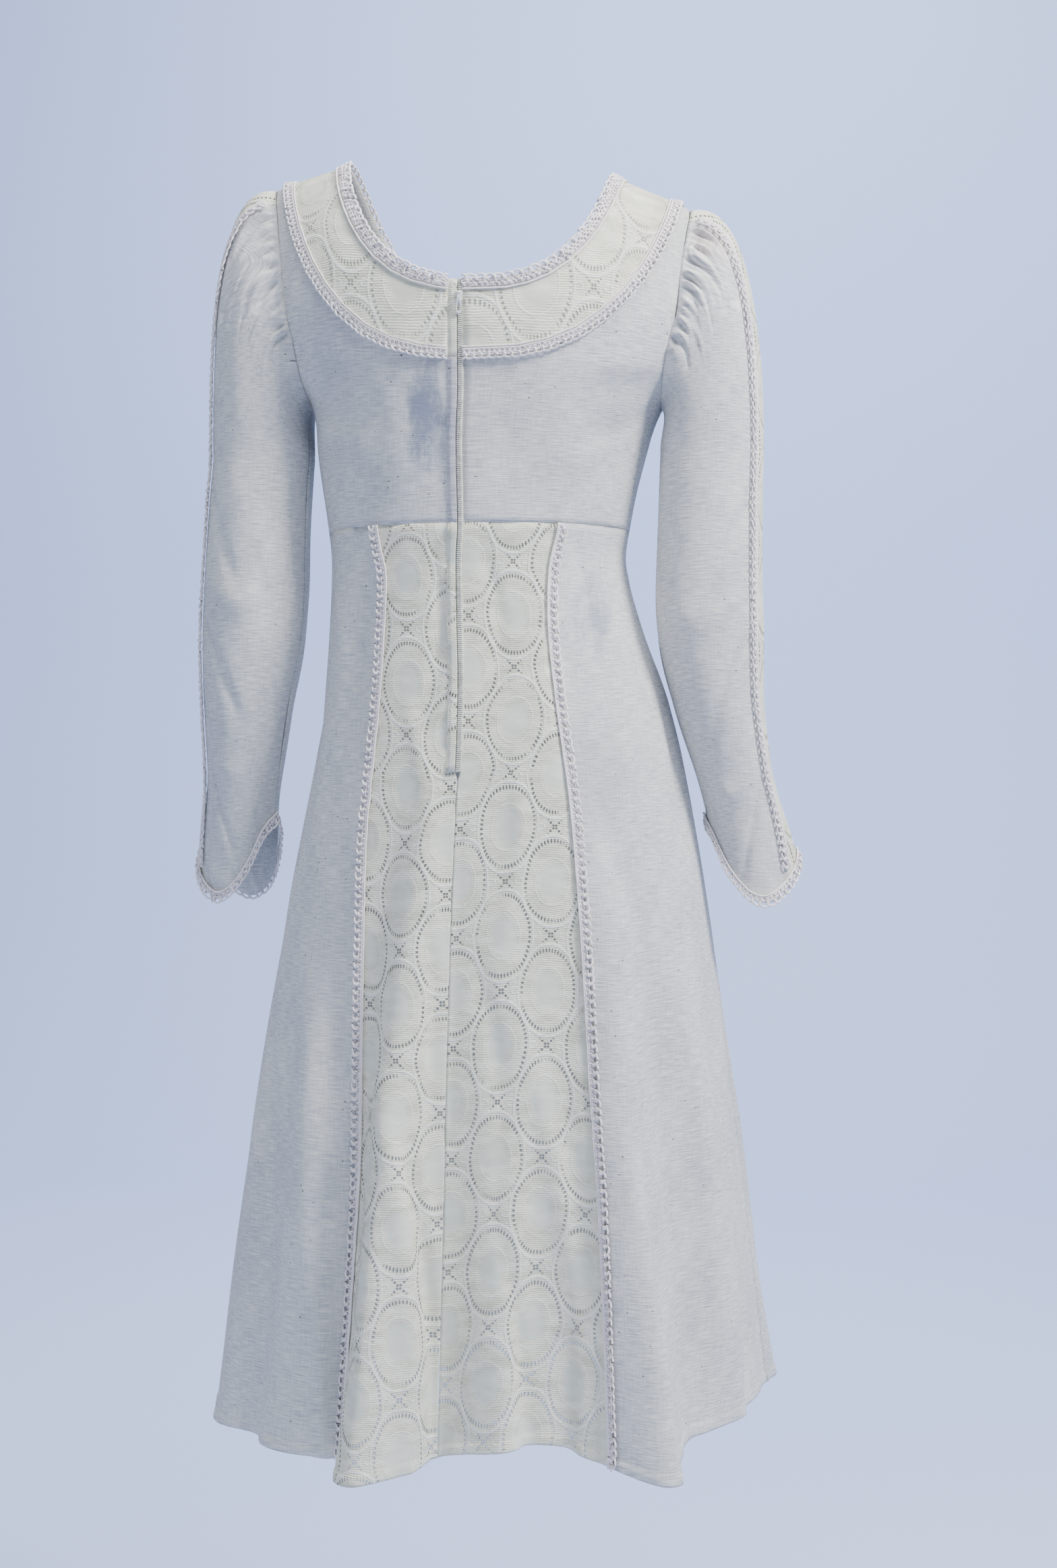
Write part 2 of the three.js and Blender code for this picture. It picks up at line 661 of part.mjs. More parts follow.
for (const [name, side] of [["left", -1], ["right", 1]]) {
  const turns = panelTurns();
  const back = sleeveGrid(side, turns, 1);
  const front = sleeveGrid(side, turns, -1);
  const lace = sleeveGrid(side, STRIP_TURNS, 1);
  add("sleeve_" + name + "_back", wallOf([back]), LINEN);
  add("sleeve_" + name + "_front", wallOf([front]), LINEN);
  add("sleeve_" + name + "_lace", wallOf([lace]), LACE);
  const trimRows = lace.length - 1;
  const backTrim = lace.map((row, r) => [...row.slice(-2), back[r][1]]).slice(0, trimRows);
  const frontTrim = [lace, front].map((grid) => grid.slice(0, trimRows).map((row) => row.slice(0, 2)));
  add("sleeve_" + name + "_trim_back", wallOf([backTrim], ...surfaceLift), TRIM);
  add("sleeve_" + name + "_trim_front", wallOf(frontTrim, ...surfaceLift), TRIM);
  add("cuff_trim_" + name, wallOf(cuffTrim([back, front, lace]), ...surfaceLift), TRIM);
}

// Zip: the chain between the two back edges, and the placket fold that laps over its left side
const leftBack = bodice.left.back;
const rightBack = bodice.right.back;
const zipLevels = SKIRT_HEIGHTS.filter((level) => level >= ZIP_END);
const chain = [
  ...leftBack.yoke.map((row, r) => [row[0], rightBack.yoke[r][0]]),
  ...leftBack.chest.slice(1).map((row, r) => [row[0], rightBack.chest[r + 1][0]]),
  ...zipLevels.slice(1).map((_, r) => [
    panels.skirt_lace_left[r + 1].at(-1),
    panels.skirt_lace_right[r + 1][0],
  ]),
];
add("zip_chain", wallOf([chain], -WALL, 0, SEAM_GAP), NYLON);

const placketOf = (row) => row.slice(0, 2);
const placketLift = [SEAM_GAP, SEAM_GAP + PLACKET_WALL];
const collarPlacket = leftBack.yoke.slice(0, COLLAR_STEPS + 1).map(placketOf);
const yokePlacket = leftBack.yoke.slice(COLLAR_STEPS).map(placketOf);
const chestPlacket = leftBack.chest.map(placketOf);
const skirtPlacket = panels.skirt_lace_left.slice(0, zipLevels.length).map((row) => row.slice(-2));
add("placket_collar", wallOf([collarPlacket], ...placketLift), LACE);
add("placket_bodice", wallOf([yokePlacket, chestPlacket], ...placketLift), LINEN);
add("placket_skirt", wallOf([skirtPlacket], ...placketLift), LACE);

// A box with its edges broken, centred on the origin.
function chamferedBox(width, height, depth, bevel) {
  const outline = new THREE.Shape();
  const x = width / 2 - bevel;
  const y = height / 2 - bevel;
  outline.moveTo(-x, -y).lineTo(x, -y).lineTo(x, y).lineTo(-x, y).closePath();
  const options = { depth: depth - 2 * bevel, bevelThickness: bevel, bevelSize: bevel, bevelSegments: 1 };
  return new THREE.ExtrudeGeometry(outline, options).translate(0, 0, bevel - depth / 2);
}

// The slider sits on the chain near the neck, and its pull hangs from it, clear of the cloth.
const chainTop = between(leftBack.yoke[0][0], rightBack.yoke[0][0], 0.5);
const chainNext = between(leftBack.yoke[1][0], rightBack.yoke[1][0], 0.5);
const seat = beyond(chainTop, chainNext, -SLIDER.below - SLIDER.length / 2);
const slider = chamferedBox(SLIDER.width, SLIDER.length, SLIDER.height, SLIDER.bevel).rotateX(Math.PI / 2);
const slope = Math.atan2(chainNext.point.y - chainTop.point.y, chainTop.point.z - chainNext.point.z);
const sliderPiece = add("zip_slider", slider, NYLON);
const clear = SLIDER.height / 2 + 2 * SEAM_GAP + PLACKET_WALL;
sliderPiece.position.copy(seat.point).addScaledVector(seat.normal, clear);
sliderPiece.rotation.x = slope;

const pull = chamferedBox(PULL.width, PULL.length, PULL.thickness, PULL.bevel).rotateX(Math.PI / 2);
const pullPiece = add("zip_pull", pull, NYLON);
pullPiece.position.copy(sliderPiece.position);
pullPiece.position.y -= SLIDER.height / 2 + PULL.thickness / 2 + PULL.gap;
pullPiece.position.z -= PULL.length / 2 - PULL.eye;

export default dress;
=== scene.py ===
"""An empire-line prairie dress of slubby linen and oval-pattern lace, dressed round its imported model.

The form is worked out in millimetres from named tables and made in metres. The origin lies midway
between the shoulders, the back faces -Y and +X is the wearer's right.
"""

import logging
import math
from dataclasses import dataclass
from enum import Enum

import bpy
import numpy as np
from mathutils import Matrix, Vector


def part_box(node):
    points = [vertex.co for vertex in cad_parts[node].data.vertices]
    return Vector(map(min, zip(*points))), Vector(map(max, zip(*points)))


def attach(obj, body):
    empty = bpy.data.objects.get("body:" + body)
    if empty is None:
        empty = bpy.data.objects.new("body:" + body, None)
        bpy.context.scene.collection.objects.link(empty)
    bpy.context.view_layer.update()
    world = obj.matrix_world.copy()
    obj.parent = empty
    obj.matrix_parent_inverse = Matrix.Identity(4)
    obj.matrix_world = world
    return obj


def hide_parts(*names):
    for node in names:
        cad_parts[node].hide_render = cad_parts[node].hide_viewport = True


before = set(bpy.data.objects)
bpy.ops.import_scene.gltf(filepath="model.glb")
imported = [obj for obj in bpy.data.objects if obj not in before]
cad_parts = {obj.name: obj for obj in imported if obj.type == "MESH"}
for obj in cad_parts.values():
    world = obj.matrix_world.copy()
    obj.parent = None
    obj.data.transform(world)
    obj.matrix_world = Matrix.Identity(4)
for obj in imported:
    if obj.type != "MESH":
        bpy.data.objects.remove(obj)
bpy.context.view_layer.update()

log = logging.getLogger("prairie_dress")

Colour = tuple[float, float, float, float]
Place = tuple[float, float, float]
Faces = list[tuple[int, ...]]
Socket = bpy.types.NodeSocket

MM = 0.001
# Heights on the worn form, in millimetres
SHOULDER_TOP = 11.0
BLADE_HEIGHT = -165.0
UNDERARM = -192.0
EMPIRE = -300.0
ZIP_END = -511.0
# The body's section is an oval of this power, and its shoulders slope and tilt by these shares
ROUNDNESS = 2.2
SHOULDER_SLOPE = 0.35
SHOULDER_TILT = 0.08
# The angle of the side seams from the centre back, in degrees
SIDE_SEAM = 96.0
# How thick the cloths are, in millimetres
LINEN_WALL = 0.9
LACE_WALL = 0.8


class Side(Enum):
    """The wearer's sides, by the sign of X."""

    LEFT = -1
    RIGHT = 1

    @property
    def word(self) -> str:
        """The side's word in the names of pieces."""
        return self.name.lower()


@dataclass(frozen=True)
class Table:
    """Rows of sizes with named columns, read by the first column with a smooth curve."""

    names: tuple[str, ...]
    rows: tuple[tuple[float, ...], ...]

    def at(self, key: str, where: np.ndarray | float) -> np.ndarray:
        """Reads one column.

        Args:
            key: The column's name.
            where: Places in the first column.

        Returns:
            The column's values there, held level past both ends.
        """
        sizes = np.array(sorted(self.rows))
        by, value = sizes[:, 0], sizes[:, self.names.index(key)]
        place = np.clip(where, by[0], by[-1])
        last = len(by) - 1
        i = np.clip(np.searchsorted(by, place, side="right") - 1, 0, last - 1)
        before = np.maximum(np.arange(last + 1) - 1, 0)
        after = np.minimum(np.arange(last + 1) + 1, last)
        slope = (value[after] - value[before]) / (by[after] - by[before])
        span = by[i + 1] - by[i]
        t = (place - by[i]) / span
        level = value[i] + (value[i + 1] - value[i]) * (3 * t**2 - 2 * t**3)
        return level + span * (slope[i] * (t - 2 * t**2 + t**3) + slope[i + 1] * (t**3 - t**2))


# Half widths and the depths behind and in front of the middle, and how far each section is shifted
SECTIONS = Table(
    ("height", "width", "back", "front", "shift"),
    (
        (20, 200, 101, 88, 4),
        (-60, 197, 101, 98, 7),
        (-128, 190, 101, 108, 9),
        (-165, 172, 101, 118, 9),
        (-192, 152, 100, 121, 8),
        (-235, 142, 97, 112, 4),
        (-300, 130, 94, 95, 2),
        (-330, 127.5, 94, 95, 2),
        (-385, 136, 99, 100, 8),
        (-443, 149, 108, 108, 16),
        (-512, 162, 118, 119, 19),
        (-640, 184, 133, 138, 18),
        (-820, 209, 148, 163, 14),
        (-1060, 236, 162, 192, 12),
    ),
)
ARMHOLE_TOP = -13.0
# How far out the armhole lies
ARMHOLE = Table(
    ("height", "width"),
    ((-13, 181), (-45, 176), (-76, 171.5), (-114, 168), (-140, 161), (-175, 154.6), (-192, 152)),
)
# Where the back's seams lie across it
SEAMS = Table(
    ("height", "lace_left", "centre", "lace_right"),
    (
        (0, -76, -9, 82),
        (-165, -76, -7, 82),
        (-300, -76, -1, 82),
        (-340, -69, -3, 74),
        (-388, -75, -7, 69),
        (-450, -86, -13, 69),
        (-540, -95, -17, 80),
        (-630, -95, -18, 89),
        (-750, -92, -17, 98),
        (-850, -90, -16, 105),
        (-1055, -98, -18, 113),
    ),
)
# The hem's height by the angle from the centre back
HEM = Table(
    ("angle", "height"),
    (
        (-180, -1046),
        (-90, -1056),
        (-60, -1058),
        (-36, -1058),
        (-13, -1066),
        (4, -1048),
        (18, -1046),
        (34, -1066),
        (50, -1044),
        (90, -1032),
        (180, -1046),
    ),
)
# Where the middle of each sleeve lies, how far it leans and its half width and depth
SLEEVE = Table(
    ("height", "left", "right", "lean", "width", "depth"),
    (
        (-235, -188, 204, -4, 44, 50),
        (-272, -190, 203, -7, 44.5, 49),
        (-386, -195, 203, -12, 45, 46),
        (-454, -201, 211, -9, 38, 42),
        (-532, -207, 228, 0, 31, 36),
        (-620, -212, 243, 10, 30, 34),
    ),
)
# The cuff's height by the angle from the outside of the arm
CUFF = Table(
    ("angle", "height"),
    (
        (0, -576),
        (20, -592),
        (45, -607),
        (75, -616),
        (100, -610),
        (125, -590),
        (150, -560),
        (180, -546),
    ),
)


@dataclass(frozen=True)
class Fold:
    """A fold of the skirt that grows towards the hem."""

    angle: float
    spread: float
    depth: float
    begins: float

    def lift(self, angle: np.ndarray, height: np.ndarray) -> np.ndarray:
        """How far the cloth stands out.

        Args:
            angle: Angles from the centre back, in degrees.
            height: Heights, in millimetres.

        Returns:
            The lift at each place, in millimetres.
        """
        turn = (angle - self.angle + 540) % 360 - 180
        across = np.minimum(np.abs(turn) / self.spread, 1)
        fall = np.maximum(0, (self.begins - height) / (self.begins - HEM.at("height", 0)))
        return self.depth * fall**1.25 * (0.5 + 0.5 * np.cos(math.pi * across))


FOLDS = (
    Fold(-158, 15, 40, -520),
    Fold(-122, 17, 34, -500),
    Fold(-88, 14, 5, -640),
    Fold(-66, 13, 8, -520),
    Fold(-36, 13, 17, -500),
    Fold(-13, 10.5, 62, -470),
    Fold(5.5, 9, 20, -560),
    Fold(34, 14, 56, -560),
    Fold(66, 15, 10, -500),
    Fold(106, 16, 18, -560),
    Fold(140, 16, 44, -500),
    Fold(172, 14, 32, -600),
)


def power(value: np.ndarray, exponent: float) -> np.ndarray:
    """A power that keeps its base's sign."""
    return np.sign(value) * np.abs(value) ** exponent


def smoothstep(value: np.ndarray, low: float, high: float) -> np.ndarray:
    """An eased step from 0 at low to 1 at high."""
    t = np.clip((value - low) / (high - low), 0, 1)
    return t * t * (3 - 2 * t)


def unit(vectors: np.ndarray) -> np.ndarray:
    """The vectors at length one."""
    return vectors / np.maximum(np.linalg.norm(vectors, axis=-1, keepdims=True), 1e-9)


def ripple(u: np.ndarray, v: np.ndarray, size: float, seed: int) -> np.ndarray:
    """Soft uneven waves, from -1 to 1, for cloth that never lies quite flat.

    Args:
        u: Distances across the cloth, in millimetres.
        v: Distances along it.
        size: The length of a typical wave.
        seed: Picks one set of waves.

    Returns:
        The wave's height at each place.
    """
    random = np.random.default_rng(seed)
    total = np.zeros_like(u)
    for _ in range(7):
        heading, phase = random.uniform(0, 2 * math.pi, 2)
        pitch = size * random.uniform(0.6, 1.7)
        along = (u * math.cos(heading) + v * math.sin(heading) * 0.6) / pitch
        total += np.sin(2 * math.pi * along + phase)
    return total / 4


class Body:
    """The worn form of the bodice and skirt, as a surface by angle and height."""

    @staticmethod
    def shoulder_height(x: np.ndarray) -> np.ndarray:
        """The shoulder line falls away from the neck."""
        return SHOULDER_TOP - SHOULDER_SLOPE * np.maximum(0, np.abs(x) - Bodice.neck_width)

    @staticmethod
    def point(places: np.ndarray) -> np.ndarray:
        """Points of the form.

        Args:
            places: Angles from the centre back and nominal heights, in the last axis.

        Returns:
            Their X, Y and Z, in millimetres.
        """
        angle, height = places[..., 0], places[..., 1]
        turn = np.radians(angle)
        width = SECTIONS.at("width", height)
        behind = np.cos(turn) >= 0
        depth = np.where(behind, SECTIONS.at("back", height), SECTIONS.at("front", height))
        out = sum(fold.lift(angle, height) for fold in FOLDS)
        x = (width + out) * power(np.sin(turn), 2 / ROUNDNESS)
        y = -(depth + out) * power(np.cos(turn), 2 / ROUNDNESS)
        share = (height - BLADE_HEIGHT) / (SHOULDER_TOP - BLADE_HEIGHT)
        over = np.radians(90 * np.clip(share, 0, 1))
        risen = BLADE_HEIGHT + (Body.shoulder_height(x) - BLADE_HEIGHT) * np.sin(over)
        z = np.where(height <= BLADE_HEIGHT, height, risen)
        lean = smoothstep(height, EMPIRE, SHOULDER_TOP)
        shifted = x + SECTIONS.at("shift", height)
        return np.stack([shifted, y * np.cos(over), z - SHOULDER_TILT * x * lean], axis=-1)

    @staticmethod
    def normals(places: np.ndarray) -> np.ndarray:
        """Outward normals of the form at each place, from points close round it."""
        topmost = places.copy()
        topmost[..., 1] = np.minimum(places[..., 1], SHOULDER_TOP - 0.9)
        aside, above = np.array([0.4, 0.0]), np.array([0.0, 0.4])
        across = Body.point(topmost + aside) - Body.point(topmost - aside)
        up = Body.point(topmost + above) - Body.point(topmost - above)
        return unit(np.cross(across, up))

    @staticmethod
    def angle_at(x: np.ndarray | float, height: np.ndarray | float) -> np.ndarray:
        """The angle of a point at a distance from the centre line, in degrees."""
        ratio = np.asarray(x / SECTIONS.at("width", height), float)
        return np.degrees(np.arcsin(np.clip(power(ratio, ROUNDNESS / 2), -1, 1)))

    @staticmethod
    def grain(places: np.ndarray) -> np.ndarray:
        """Distances round and down the body for the weave, in millimetres."""
        angle, height = places[..., 0], places[..., 1]
        round_it = np.radians(angle) * (SECTIONS.at("width", height) + SECTIONS.at("back", height)) / 2
        return np.stack([round_it, height * 1.08], axis=-1)


def refined(places: np.ndarray, rows: int, columns: int) -> np.ndarray:
    """Splits each interval of a grid of places.

    Args:
        places: The grid, by row and column.
        rows: How many steps each interval between rows becomes.
        columns: The same between columns.

    Returns:
        The finer grid.
    """
    for axis, steps in ((0, rows), (1, columns)):
        count = places.shape[axis]
        at = np.arange((count - 1) * steps + 1) / steps
        low = np.minimum(at.astype(int), count - 2)
        share = (at - low).reshape([-1 if a == axis else 1 for a in range(places.ndim)])
        first, second = np.take(places, low, axis), np.take(places, low + 1, axis)
        places = first * (1 - share) + second * share
    return places


def normals_of(points: np.ndarray, facing: int) -> np.ndarray:
    """Outward normals of a grid of points, from differences along its rows and columns."""
    along, across = np.gradient(points, axis=0), np.gradient(points, axis=1)
    return unit(np.cross(along, across)) * facing


@dataclass
class Sheet:
    """A grid of cloth: its points, outward normals and grain, in millimetres."""

    points: np.ndarray
    grain: np.ndarray
    facing: int = 1
    normals: np.ndarray | None = None

    def __post_init__(self) -> None:
        """Works out the normals where none are given."""
        if self.normals is None:
            self.normals = normals_of(self.points, self.facing)

    def push(self, distance: np.ndarray) -> "Sheet":
        """Moves each point along its normal, which it keeps."""
        self.points = self.points + self.normals * distance[..., None]
        return self

    def part(self, rows: slice, columns: slice) -> "Sheet":
        """A smaller sheet that lies on the same points."""
        return Sheet(
            self.points[rows, columns], self.grain[rows, columns], self.facing, self.normals[rows, columns]
        )

    def spans(self) -> tuple[float, float, float]:
        """The longest row, the longest column and the area, in metres."""
        rows = np.linalg.norm(np.diff(self.points, axis=1), axis=-1).sum(1)
        columns = np.linalg.norm(np.diff(self.points, axis=0), axis=-1).sum(0)
        across = self.points[:-1, 1:] - self.points[:-1, :-1]
        down = self.points[1:, :-1] - self.points[:-1, :-1]
        area = np.linalg.norm(np.cross(across, down), axis=-1).sum()
        return float(rows.max() * MM), float(columns.max() * MM), float(area * MM * MM)


def measured_grain(points: np.ndarray, origin: int, top: float = 0.0) -> np.ndarray:
    """Distances along each row from one column, and down each column.

    Args:
        points: The grid of points.
        origin: The column that the rows are measured from.
        top: The distance that the columns start at.

    Returns:
        Both distances in the last axis, in millimetres.
    """
    steps = np.linalg.norm(np.diff(points, axis=1), axis=-1)
    across = np.concatenate([np.zeros((len(points), 1)), np.cumsum(steps, axis=1)], axis=1)
    drops = np.linalg.norm(np.diff(points, axis=0), axis=-1)
    down = np.concatenate([np.zeros((1, points.shape[1])), np.cumsum(drops, axis=0)], axis=0)
    level = down.mean(1, keepdims=True) * 0.5 + down * 0.5
    return np.stack([across - across[:, origin : origin + 1], -(level + top)], axis=-1)


@dataclass(frozen=True)
class Crease:
    """One trough or ridge between two places of a panel's grain."""

    start: tuple[float, float]
    end: tuple[float, float]
    width: float
    depth: float

    def lift(self, grain: np.ndarray) -> np.ndarray:
        """The crease's height over a panel, fading at its ends and sides."""
        first, last = np.array(self.start), np.array(self.end)
        run = last - first
        length = np.linalg.norm(run)
        along = ((grain - first) @ run) / length**2
        bow = 0.08 * length * np.sin(math.pi * np.clip(along, 0, 1))
        aside = ((grain - first) @ np.array([-run[1], run[0]])) / length - bow
        ends = smoothstep(along, -0.1, 0.3) * (1 - smoothstep(along, 0.7, 1.1))
        width = self.width * (0.7 + 0.6 * np.clip(along, 0, 1))
        return self.depth * ends * np.exp(-((aside / width) ** 2))


def creased(grain: np.ndarray, creases: tuple[Crease, ...]) -> np.ndarray:
    """The height of all the creases of a panel together."""
    return sum((crease.lift(grain) for crease in creases), np.zeros(grain.shape[:-1]))


class ShaderNodes:
    """Short ways to add nodes to one node tree."""

    def __init__(self, tree: bpy.types.NodeTree) -> None:
        """Keeps the tree."""
        self.tree = tree

    def add(
        self, kind: str, inputs: dict[str | int, object] | None = None, **settings: object
    ) -> bpy.types.Node:
        """Adds a node.

        Args:
            kind: The node's type.
            inputs: A value or another node's output for each input.
            **settings: The node's own settings.

        Returns:
            The node.
        """
        node = self.tree.nodes.new(kind)
        for name, value in settings.items():
            setattr(node, name, value)
        for key, value in (inputs or {}).items():
            if isinstance(value, Socket):
                self.tree.links.new(value, node.inputs[key])
            else:
                node.inputs[key].default_value = value
        return node

    def math(self, operation: str, first: object, second: object = 0.0) -> Socket:
        """One sum of two numbers, either of which may be a socket."""
        return self.add("ShaderNodeMath", {0: first, 1: second}, operation=operation).outputs[0]

    def vector(self, operation: str, first: object, second: object) -> Socket:
        """One sum of two vectors."""
        return self.add("ShaderNodeVectorMath", {0: first, 1: second}, operation=operation).outputs[0]

    def length(self, first: object, second: object) -> Socket:
        """The length of two sides together."""
        squares = self.math("ADD", self.math("POWER", first, 2.0), self.math("POWER", second, 2.0))
        return self.math("SQRT", squares)

    def wrapped(self, value: object, pitch: float, shift: float) -> Socket:
        """A place in its own repeat, with 0 in the middle."""
        share = self.math("ADD", self.math("DIVIDE", value, pitch), 0.5 + shift)
        return self.math("MULTIPLY", self.math("SUBTRACT", self.math("FRACT", share), 0.5), pitch)

    def step(self, value: object, low: float, high: float) -> Socket:
        """A smooth step from 0 at low to 1 at high, or the other way round where low is higher."""
        ends = {"Value": value, "From Min": min(low, high), "From Max": max(low, high)}
        if low > high:
            ends.update({"To Min": 1.0, "To Max": 0.0})
        made = self.add("ShaderNodeMapRange", ends, interpolation_type="SMOOTHSTEP")
        return made.outputs["Result"]

    def noise(self, vector: object, scale: float, detail: float = 2.0, rough: float = 0.5) -> Socket:
        """Noise over a vector."""
        inputs = {"Vector": vector, "Scale": scale, "Detail": detail, "Roughness": rough}
        return self.add("ShaderNodeTexNoise", inputs).outputs["Fac"]

    def scaled(self, vector: object, scale: tuple[float, float, float]) -> Socket:
        """A vector stretched along its axes."""
        return self.add("ShaderNodeMapping", {"Vector": vector, "Scale": scale}).outputs["Vector"]

    def mix(self, factor: object, first: object, second: object) -> Socket:
        """A blend of two colours."""
        made = self.add("ShaderNodeMix", {0: factor, 6: first, 7: second}, data_type="RGBA")
        return made.outputs[2]

    def group(self, tree: bpy.types.NodeTree, inputs: dict[str, object] | None = None) -> bpy.types.Node:
        """Places a node group."""
        return self.add("ShaderNodeGroup", inputs, node_tree=tree)


class Effect:
    """A shader node group with named inputs and outputs."""

    def __init__(self, name: str, inputs: dict[str, tuple[str, object]], outputs: dict[str, str]) -> None:
        """Makes the group's sockets.

        Args:
            name: The group's name.
            inputs: Each input's kind and value.
            outputs: Each output's kind.
        """
        self.tree = bpy.data.node_groups.new(name, "ShaderNodeTree")
        for label, (kind, value) in inputs.items():
            socket = self.tree.interface.new_socket(label, in_out="INPUT", socket_type="NodeSocket" + kind)
            if value is not None:
                socket.default_value = value
        for label, kind in outputs.items():
            self.tree.interface.new_socket(label, in_out="OUTPUT", socket_type="NodeSocket" + kind)
        self.nodes = ShaderNodes(self.tree)
        self.given = self.nodes.add("NodeGroupInput").outputs
        self.out = self.nodes.add("NodeGroupOutput")

    def send(self, **values: Socket) -> bpy.types.NodeTree:
        """Links the group's outputs and gives its tree."""
        for label, value in values.items():
            self.tree.links.new(value, self.out.inputs[label])
        return self.tree


def weave_effect() -> bpy.types.NodeTree:
    """Plain weave with slubs along both threads: how light each place is, dark flecks and the relief."""
    effect = Effect(
        "plain_weave",
        {"Grain": ("Vector", None), "Thread": ("Float", 0.75), "Slubs": ("Float", 1.0)},
        {"Shade": "Float", "Flecks": "Float", "Height": "Float"},
    )
    n, given = effect.nodes, effect.given
    parts = n.add("ShaderNodeSeparateXYZ", {0: given["Grain"]}).outputs
    warp = n.math("SINE", n.math("DIVIDE", n.math("MULTIPLY", parts[0], 2 * math.pi), given["Thread"]))
    weft = n.math("SINE", n.math("DIVIDE", n.math("MULTIPLY", parts[1], 2 * math.pi), given["Thread"]))
    threads = n.math("MULTIPLY", warp, weft)
    across = n.noise(n.scaled(given["Grain"], (0.07, 1.0, 1)), 1.0, 4.0, 0.65)
    along = n.noise(n.scaled(given["Grain"], (0.9, 0.05, 1)), 1.0, 3.0, 0.6)
    cloudy = n.noise(n.scaled(given["Grain"], (0.02, 0.014, 1)), 1.0, 3.0)
    thick = n.math("ADD", n.math("MULTIPLY", across, 0.78), n.math("MULTIPLY", along, 0.22))
    slubs = n.math("MULTIPLY", n.math("SUBTRACT", thick, 0.5), given["Slubs"])
    shade = n.math("ADD", n.math("MULTIPLY", slubs, 2.8), n.math("MULTIPLY", cloudy, 0.5))
    specks = n.scaled(given["Grain"], (0.1, 0.13, 1))
    cells = n.add("ShaderNodeTexVoronoi", {"Vector": specks, "Scale": 1.0})
    tiny = n.step(cells.outputs["Distance"], 0.105, 0.055)
    chosen = n.add("ShaderNodeSeparateColor", {0: cells.outputs["Color"]}).outputs[0]
    flecks = n.math("MULTIPLY", tiny, n.step(chosen, 0.15, 0.8))
    height = n.math("ADD", n.math("MULTIPLY", threads, 0.25), n.math("MULTIPLY", slubs, 3.2))
    return effect.send(Shade=n.math("ADD", shade, 0.25), Flecks=flecks, Height=height)


def stain_and_shade_effect() -> bpy.types.NodeTree:
    """A soft uneven patch round one place of the dress."""
    effect = Effect(
        "stain",
        {"Centre": ("Vector", None), "Reach": ("Vector", None)},
        {"Mask": "Float"},
    )
    n, given = effect.nodes, effect.given
    place = n.add("ShaderNodeTexCoord").outputs["Object"]
    away = n.vector("SUBTRACT", place, given["Centre"])
    scaled = n.vector("DIVIDE", away, given["Reach"])
    far = n.add("ShaderNodeVectorMath", {0: scaled}, operation="LENGTH").outputs["Value"]
    uneven = n.noise(n.scaled(place, (1.6, 1.0, 0.8)), 34.0, 7.0, 0.72)
    spread = n.math("ADD", far, n.math("MULTIPLY", n.math("SUBTRACT", uneven, 0.5), 2.6))
    return effect.send(Mask=n.step(spread, 1.1, 0.25))


